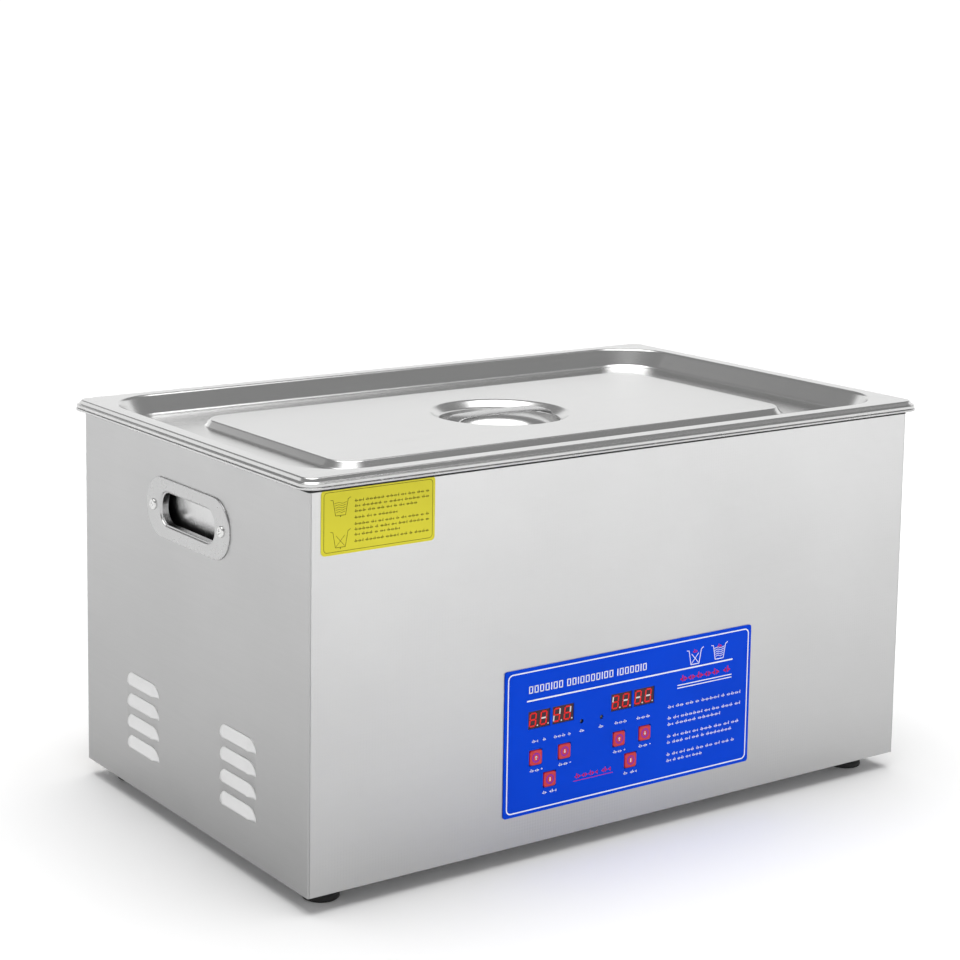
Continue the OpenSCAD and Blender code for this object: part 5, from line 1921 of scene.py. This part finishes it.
    def inlet(self) -> None:
        """Makes the mains inlet with its three pins."""
        body = self.bezel((24, 12), (11.6, 7.6), 2.5, 15, 4.0)
        make_piece(body, "mains_inlet_body", self.finishes.black_plastic, "housing",
                   ["mains_inlet"], self.at(-60, self.service_z))
        pins = bmesh.new()
        for x, y in ((-7, -2), (0, 3), (7, -2)):
            box_part(pins, ((x - 1) * MM, (y - 2.5) * MM, -15.5 * MM), ((x + 1) * MM, (y + 2.5) * MM, -5 * MM),
                     0.35 * MM, 2)
        make_piece(pins, "mains_inlet_pins", self.finishes.brass, "housing",
                   matrix=self.at(-60, self.service_z))
        heads = bmesh.new()
        for x in (-19, 19):
            screw_head(heads, 3.0 * MM, 1.4 * MM, self.at(-60 + x, self.service_z, 2.5))
        make_piece(heads, "mains_inlet_screws", self.finishes.bright_steel, "housing")

    def switch(self) -> None:
        """Makes the switch frame and its rocker with a bar and a ring on it."""
        frame_bm = self.bezel((12, 15.5), (8.5, 12), 1.6, 10, 1.6)
        make_piece(frame_bm, "power_switch_frame", self.finishes.black_plastic, "housing",
                   ["power_switch_housing"], self.at(0, self.service_z))
        rocker = bmesh.new()
        bmesh.ops.create_grid(rocker, x_segments=6, y_segments=24, size=1.0)
        for vert in rocker.verts:
            u, v = vert.co.x, vert.co.y
            vert.co = (u * 8.0 * MM, v * 10.7 * MM, (2.6 + 1.3 * v * v - 0.25 * u ** 6) * MM)
        rim = [e for e in rocker.edges if e.is_boundary]
        skirt = bmesh.ops.extrude_edge_only(rocker, edges=rim)["geom"]
        for vert in (g for g in skirt if isinstance(g, bmesh.types.BMVert)):
            vert.co.z = -2.8 * MM
        face_up(rocker)
        tilt = self.at(0, self.service_z, -1.5) @ Matrix.Rotation(math.radians(-10), 4, "X")
        make_piece(rocker, "power_switch_button", self.finishes.rocker, "power_switch_rocker",
                   ["power_switch_rocker"], tilt)
        marks = PrintPlane()
        marks.bar(0, 6.2, 0.8, 4.0)
        marks.finish("power_switch_bar", self.finishes.white_ink, "power_switch_rocker", "rocker_plastic",
                     tilt @ Matrix.Translation((0, 0, 2.93 * MM)) @ Matrix.Rotation(math.radians(8.0), 4, "X"),
                     0.15)
        ring = PrintPlane()
        ring.ring(0, -6.2, 2.0, 0.6, 28)
        ring.finish("power_switch_ring", self.finishes.white_ink, "power_switch_rocker", "rocker_plastic",
                    tilt @ Matrix.Translation((0, 0, 2.93 * MM)) @ Matrix.Rotation(math.radians(-8.0), 4, "X"),
                    0.15)

    def fuse(self) -> None:
        """Makes the fuse holder's ribbed cap with its coin slot."""
        bm = bmesh.new()
        profile = rounded([(8, 0, 0), (8, 2, 0.6), (6.3, 2, 0.3), (6.1, 7.6, 0.9), (2.8, 7.6, 0), (2.8, 6.6, 0),
                           (0, 6.6, 0)], 4)
        lathe(bm, scaled(profile), 48)
        for vert in bm.verts:
            if 2.2 * MM < vert.co.z < 6.8 * MM and vert.co.xy.length > 5 * MM:
                step = round(math.degrees(math.atan2(vert.co.y, vert.co.x)) / 7.5)
                vert.co.xy *= 1.0 if step % 2 else 0.95
        box_part(bm, (-4.6 * MM, -0.6 * MM, 7.0 * MM), (4.6 * MM, 0.6 * MM, 7.9 * MM), 0.2 * MM, 2)
        make_piece(bm, "fuse_cap", self.finishes.black_plastic, "housing", ["fuse_holder"],
                   self.at(46, self.service_z))

    def hexagon(self, bm: bmesh.types.BMesh, radius: float, low: float, high: float) -> None:
        """A chamfered hexagon nut.

        Args:
            bm: Mesh that takes the nut.
            radius: Radius to its corners.
            low: Where it starts, out from the sheet.
            high: Where it ends.
        """
        part = bmesh.new()
        bmesh.ops.create_cone(part, cap_ends=True, segments=6, radius1=radius * MM, radius2=radius * MM,
                              depth=(high - low) * MM)
        bmesh.ops.translate(part, verts=part.verts, vec=(0, 0, (low + high) / 2 * MM))
        bevel_all(part, 0.9 * MM, 3, 0.5)
        join_into(bm, part)

    def valve(self) -> None:
        """Makes the valve's body, ridged hose tail, stem tower and sleeved lever."""
        x, z, ball = -200.0, 88.0, 26.0
        bm = bmesh.new()
        self.hexagon(bm, 15, 0, 13)
        body = rounded([(13, 13, 0), (13, ball + 14, 1.4), (12.2, ball + 14, 0)], 4)
        lathe(bm, scaled(body), 48)
        self.hexagon(bm, 13, ball + 14, ball + 20)
        tail = [(7.2, ball + 20)]
        for index in range(4):
            start = ball + 20.6 + 2.7 * index
            tail += [(8.6, start), (7.4, start + 2.6)]
        tail += [(7.2, 57.6), (6.6, 58.0), (5.5, 58.0), (5.5, ball + 14)]
        lathe(bm, scaled(tail), 40)
        stem = rounded([(6, 11, 0), (6, 18, 0.6), (3.1, 18, 0)], 3)
        up = Matrix.Translation((0, 0, ball * MM)) @ Matrix.Rotation(math.radians(-90), 4, "X")
        lathe(bm, scaled(stem), 32, up)
        make_piece(bm, "drain_valve_body", self.finishes.brass, "housing", ["valve_body"],
                   self.at(x, z))
        spindle = bmesh.new()
        lathe(spindle, scaled(rounded([(3, 14, 0), (3, 27, 0.5), (0, 27, 0)], 3)), 24)
        lathe(spindle, scaled(rounded([(3, 19.2, 0), (7, 19.2, 0.6), (7, 24, 0.8), (3, 24, 0)], 3)), 6)
        place = Facing.TOP.at(x * MM, self.casing_y + (self.rear + ball) * MM, z * MM)
        make_piece(spindle, "drain_valve_spindle", self.finishes.bright_steel, "drain_valve_lever",
                   matrix=place)
        lever = bmesh.new()
        round_slab(lever, (28.5 * MM, 5.0 * MM), 4.9 * MM, (21.0 * MM, 23.5 * MM), 0.8 * MM,
                   Matrix.Translation((28.5 * MM, 0, 0)), 8)
        make_piece(lever, "drain_valve_lever_arm", self.finishes.sleeve, "drain_valve_lever",
                   ["valve_lever"], place)
        dress("valve_ball", self.finishes.bright_steel)

    def build(self) -> None:
        """Makes all the fittings."""
        self.screws()
        self.fan()
        self.inlet()
        self.switch()
        self.fuse()
        self.valve()


@dataclass
class Internals:
    """The parts behind the sheets, in their CAD shapes."""

    finishes: Finishes

    def build(self) -> None:
        """Dresses each inner part."""
        looks = self.finishes
        nodes = {
            "control_board": looks.board, "control_standoffs": looks.brass,
            "tact_switches": looks.black_plastic,
            "generator_board": looks.board, "generator_standoffs": looks.brass, "heat_sink": looks.aluminium,
            "power_transistors": looks.black_plastic, "output_transformer": looks.ferrite,
            "filter_capacitors": looks.capacitor, "ribbon_cable": looks.grey_cable,
            "transducer_heads": looks.aluminium, "piezo_rings": looks.ceramic,
            "transducer_masses": looks.plain_steel, "transducer_wires": looks.red_wire,
            "heater_pads": looks.silicone, "temperature_sensor": looks.brass, "drain_pipe": looks.plain_steel,
            "valve_seats": looks.ptfe,
        }
        for node, finish in nodes.items():
            dress(node, finish)


# Studio -------------------------------------------------------------------------


@dataclass(frozen=True)
class Viewpoint:
    """Where the camera stands and looks: metres, degrees and millimetres of lens."""

    place: tuple[float, float, float] = (-0.9444, -1.2959, 0.5654)
    heading: float = 34.044
    dip: float = 7.862
    roll: float = 0.622
    lens: float = 82.8
    shift: tuple[float, float] = (0.08, -0.18)


@dataclass
class Studio:
    """Pale floor, soft sky and the camera."""

    viewpoint: Viewpoint
    floor_size: float = 30.0
    horizon: float = 1.08
    window: float = 1.3
    belt: float = 0.3
    ceiling: float = 3.6

    def camera(self) -> None:
        """Stands the camera."""
        view = self.viewpoint
        heading, dip, roll = (math.radians(a) for a in (view.heading, view.dip, view.roll))
        ahead = Vector((math.sin(heading) * math.cos(dip), math.cos(heading) * math.cos(dip), -math.sin(dip)))
        right = Vector((math.cos(heading), -math.sin(heading), 0))
        up = right.cross(ahead)
        turned = (right * math.cos(roll) + up * math.sin(roll), up * math.cos(roll) - right * math.sin(roll))
        data = bpy.data.cameras.new("camera")
        data.lens = view.lens
        data.sensor_width = 36.0
        data.shift_x, data.shift_y = view.shift
        data.clip_start, data.clip_end = 0.01, 100.0
        camera = bpy.data.objects.new("camera", data)
        matrix = Matrix((*turned, -ahead)).transposed().to_4x4()
        matrix.translation = view.place
        camera.matrix_world = matrix
        bpy.context.scene.collection.objects.link(camera)
        bpy.context.scene.camera = camera

    def floor(self) -> None:
        """Lays the floor."""
        bm = bmesh.new()
        bmesh.ops.create_grid(bm, x_segments=1, y_segments=1, size=self.floor_size)
        mesh = bpy.data.meshes.new("floor")
        bm.to_mesh(mesh)
        bm.free()
        material, tree = start_material("floor_paper")
        shader = tree.nodes.new("ShaderNodeBsdfPrincipled")
        shader.label = "white paper"
        shader.inputs["Base Color"].default_value = (0.9, 0.9, 0.9, 1)
        shader.inputs["Roughness"].default_value = 1.0
        shader.inputs["Specular IOR Level"].default_value = 0.0
        output = tree.nodes.new("ShaderNodeOutputMaterial")
        output.label = "surface"
        tree.links.new(shader.outputs["BSDF"], output.inputs["Surface"])
        group_nodes(tree, {"paper": [shader, output]})
        mesh.materials.append(material)
        floor = bpy.data.objects.new("floor", mesh)
        bpy.context.scene.collection.objects.link(floor)

    def sky(self) -> None:
        """Soft studio surround: bright at the horizon, dim above it, bright overhead."""
        world = bpy.data.worlds.new("studio")
        world.use_nodes = True
        tree = world.node_tree
        tree.nodes.clear()
        place = tree.nodes.new("ShaderNodeTexCoord")
        place.label = "direction"
        split = tree.nodes.new("ShaderNodeSeparateXYZ")
        split.label = "height in the sky"
        bands = tree.nodes.new("ShaderNodeValToRGB")
        bands.label = "bands of light"
        bands.color_ramp.interpolation = "EASE"
        scale = self.ceiling
        stops = ((0.0, self.horizon), (math.sin(math.radians(14)), self.horizon),
                 (math.sin(math.radians(17)), self.window), (math.sin(math.radians(21)), self.window),
                 (math.sin(math.radians(24)), self.belt), (math.sin(math.radians(57)), self.belt),
                 (math.sin(math.radians(64)), self.ceiling), (1.0, self.ceiling))
        ramp = bands.color_ramp
        while len(ramp.elements) < len(stops):
            ramp.elements.new(0.5)
        for element, (position, level) in zip(ramp.elements, stops):
            element.position = position
            element.color = (level / scale,) * 3 + (1,)
        glow = tree.nodes.new("ShaderNodeBackground")
        glow.label = "soft light"
        glow.inputs["Strength"].default_value = scale
        output = tree.nodes.new("ShaderNodeOutputWorld")
        output.label = "surround"
        tree.links.new(place.outputs["Generated"], split.inputs["Vector"])
        tree.links.new(split.outputs["Z"], bands.inputs["Fac"])
        tree.links.new(bands.outputs["Color"], glow.inputs["Color"])
        tree.links.new(glow.outputs["Background"], output.inputs["Surface"])
        group_nodes(tree, {"surround": [place, split, bands, glow, output]})
        bpy.context.scene.world = world

    def build(self) -> None:
        """Sets up the studio."""
        self.camera()
        self.floor()
        self.sky()
        bpy.context.scene.view_settings.view_transform = "Standard"


def main() -> None:
    """Builds the machine and its studio."""
    logging.basicConfig(level=logging.INFO, format="%(name)s: %(message)s")
    Studio(Viewpoint()).build()
    finishes = Finishes()
    tank_low, tank_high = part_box("tank")
    casing_y = (tank_low.y + tank_high.y) / 2
    Casing(finishes, casing_y).build()
    Tank(finishes).build(casing_y)
    Lid(finishes).build(casing_y)
    Basket(finishes).build()
    ControlPanel(finishes).build()
    CareLabel(finishes).build()
    RearFittings(finishes, casing_y).build()
    Internals(finishes).build()


if __name__ == "__main__":
    main()
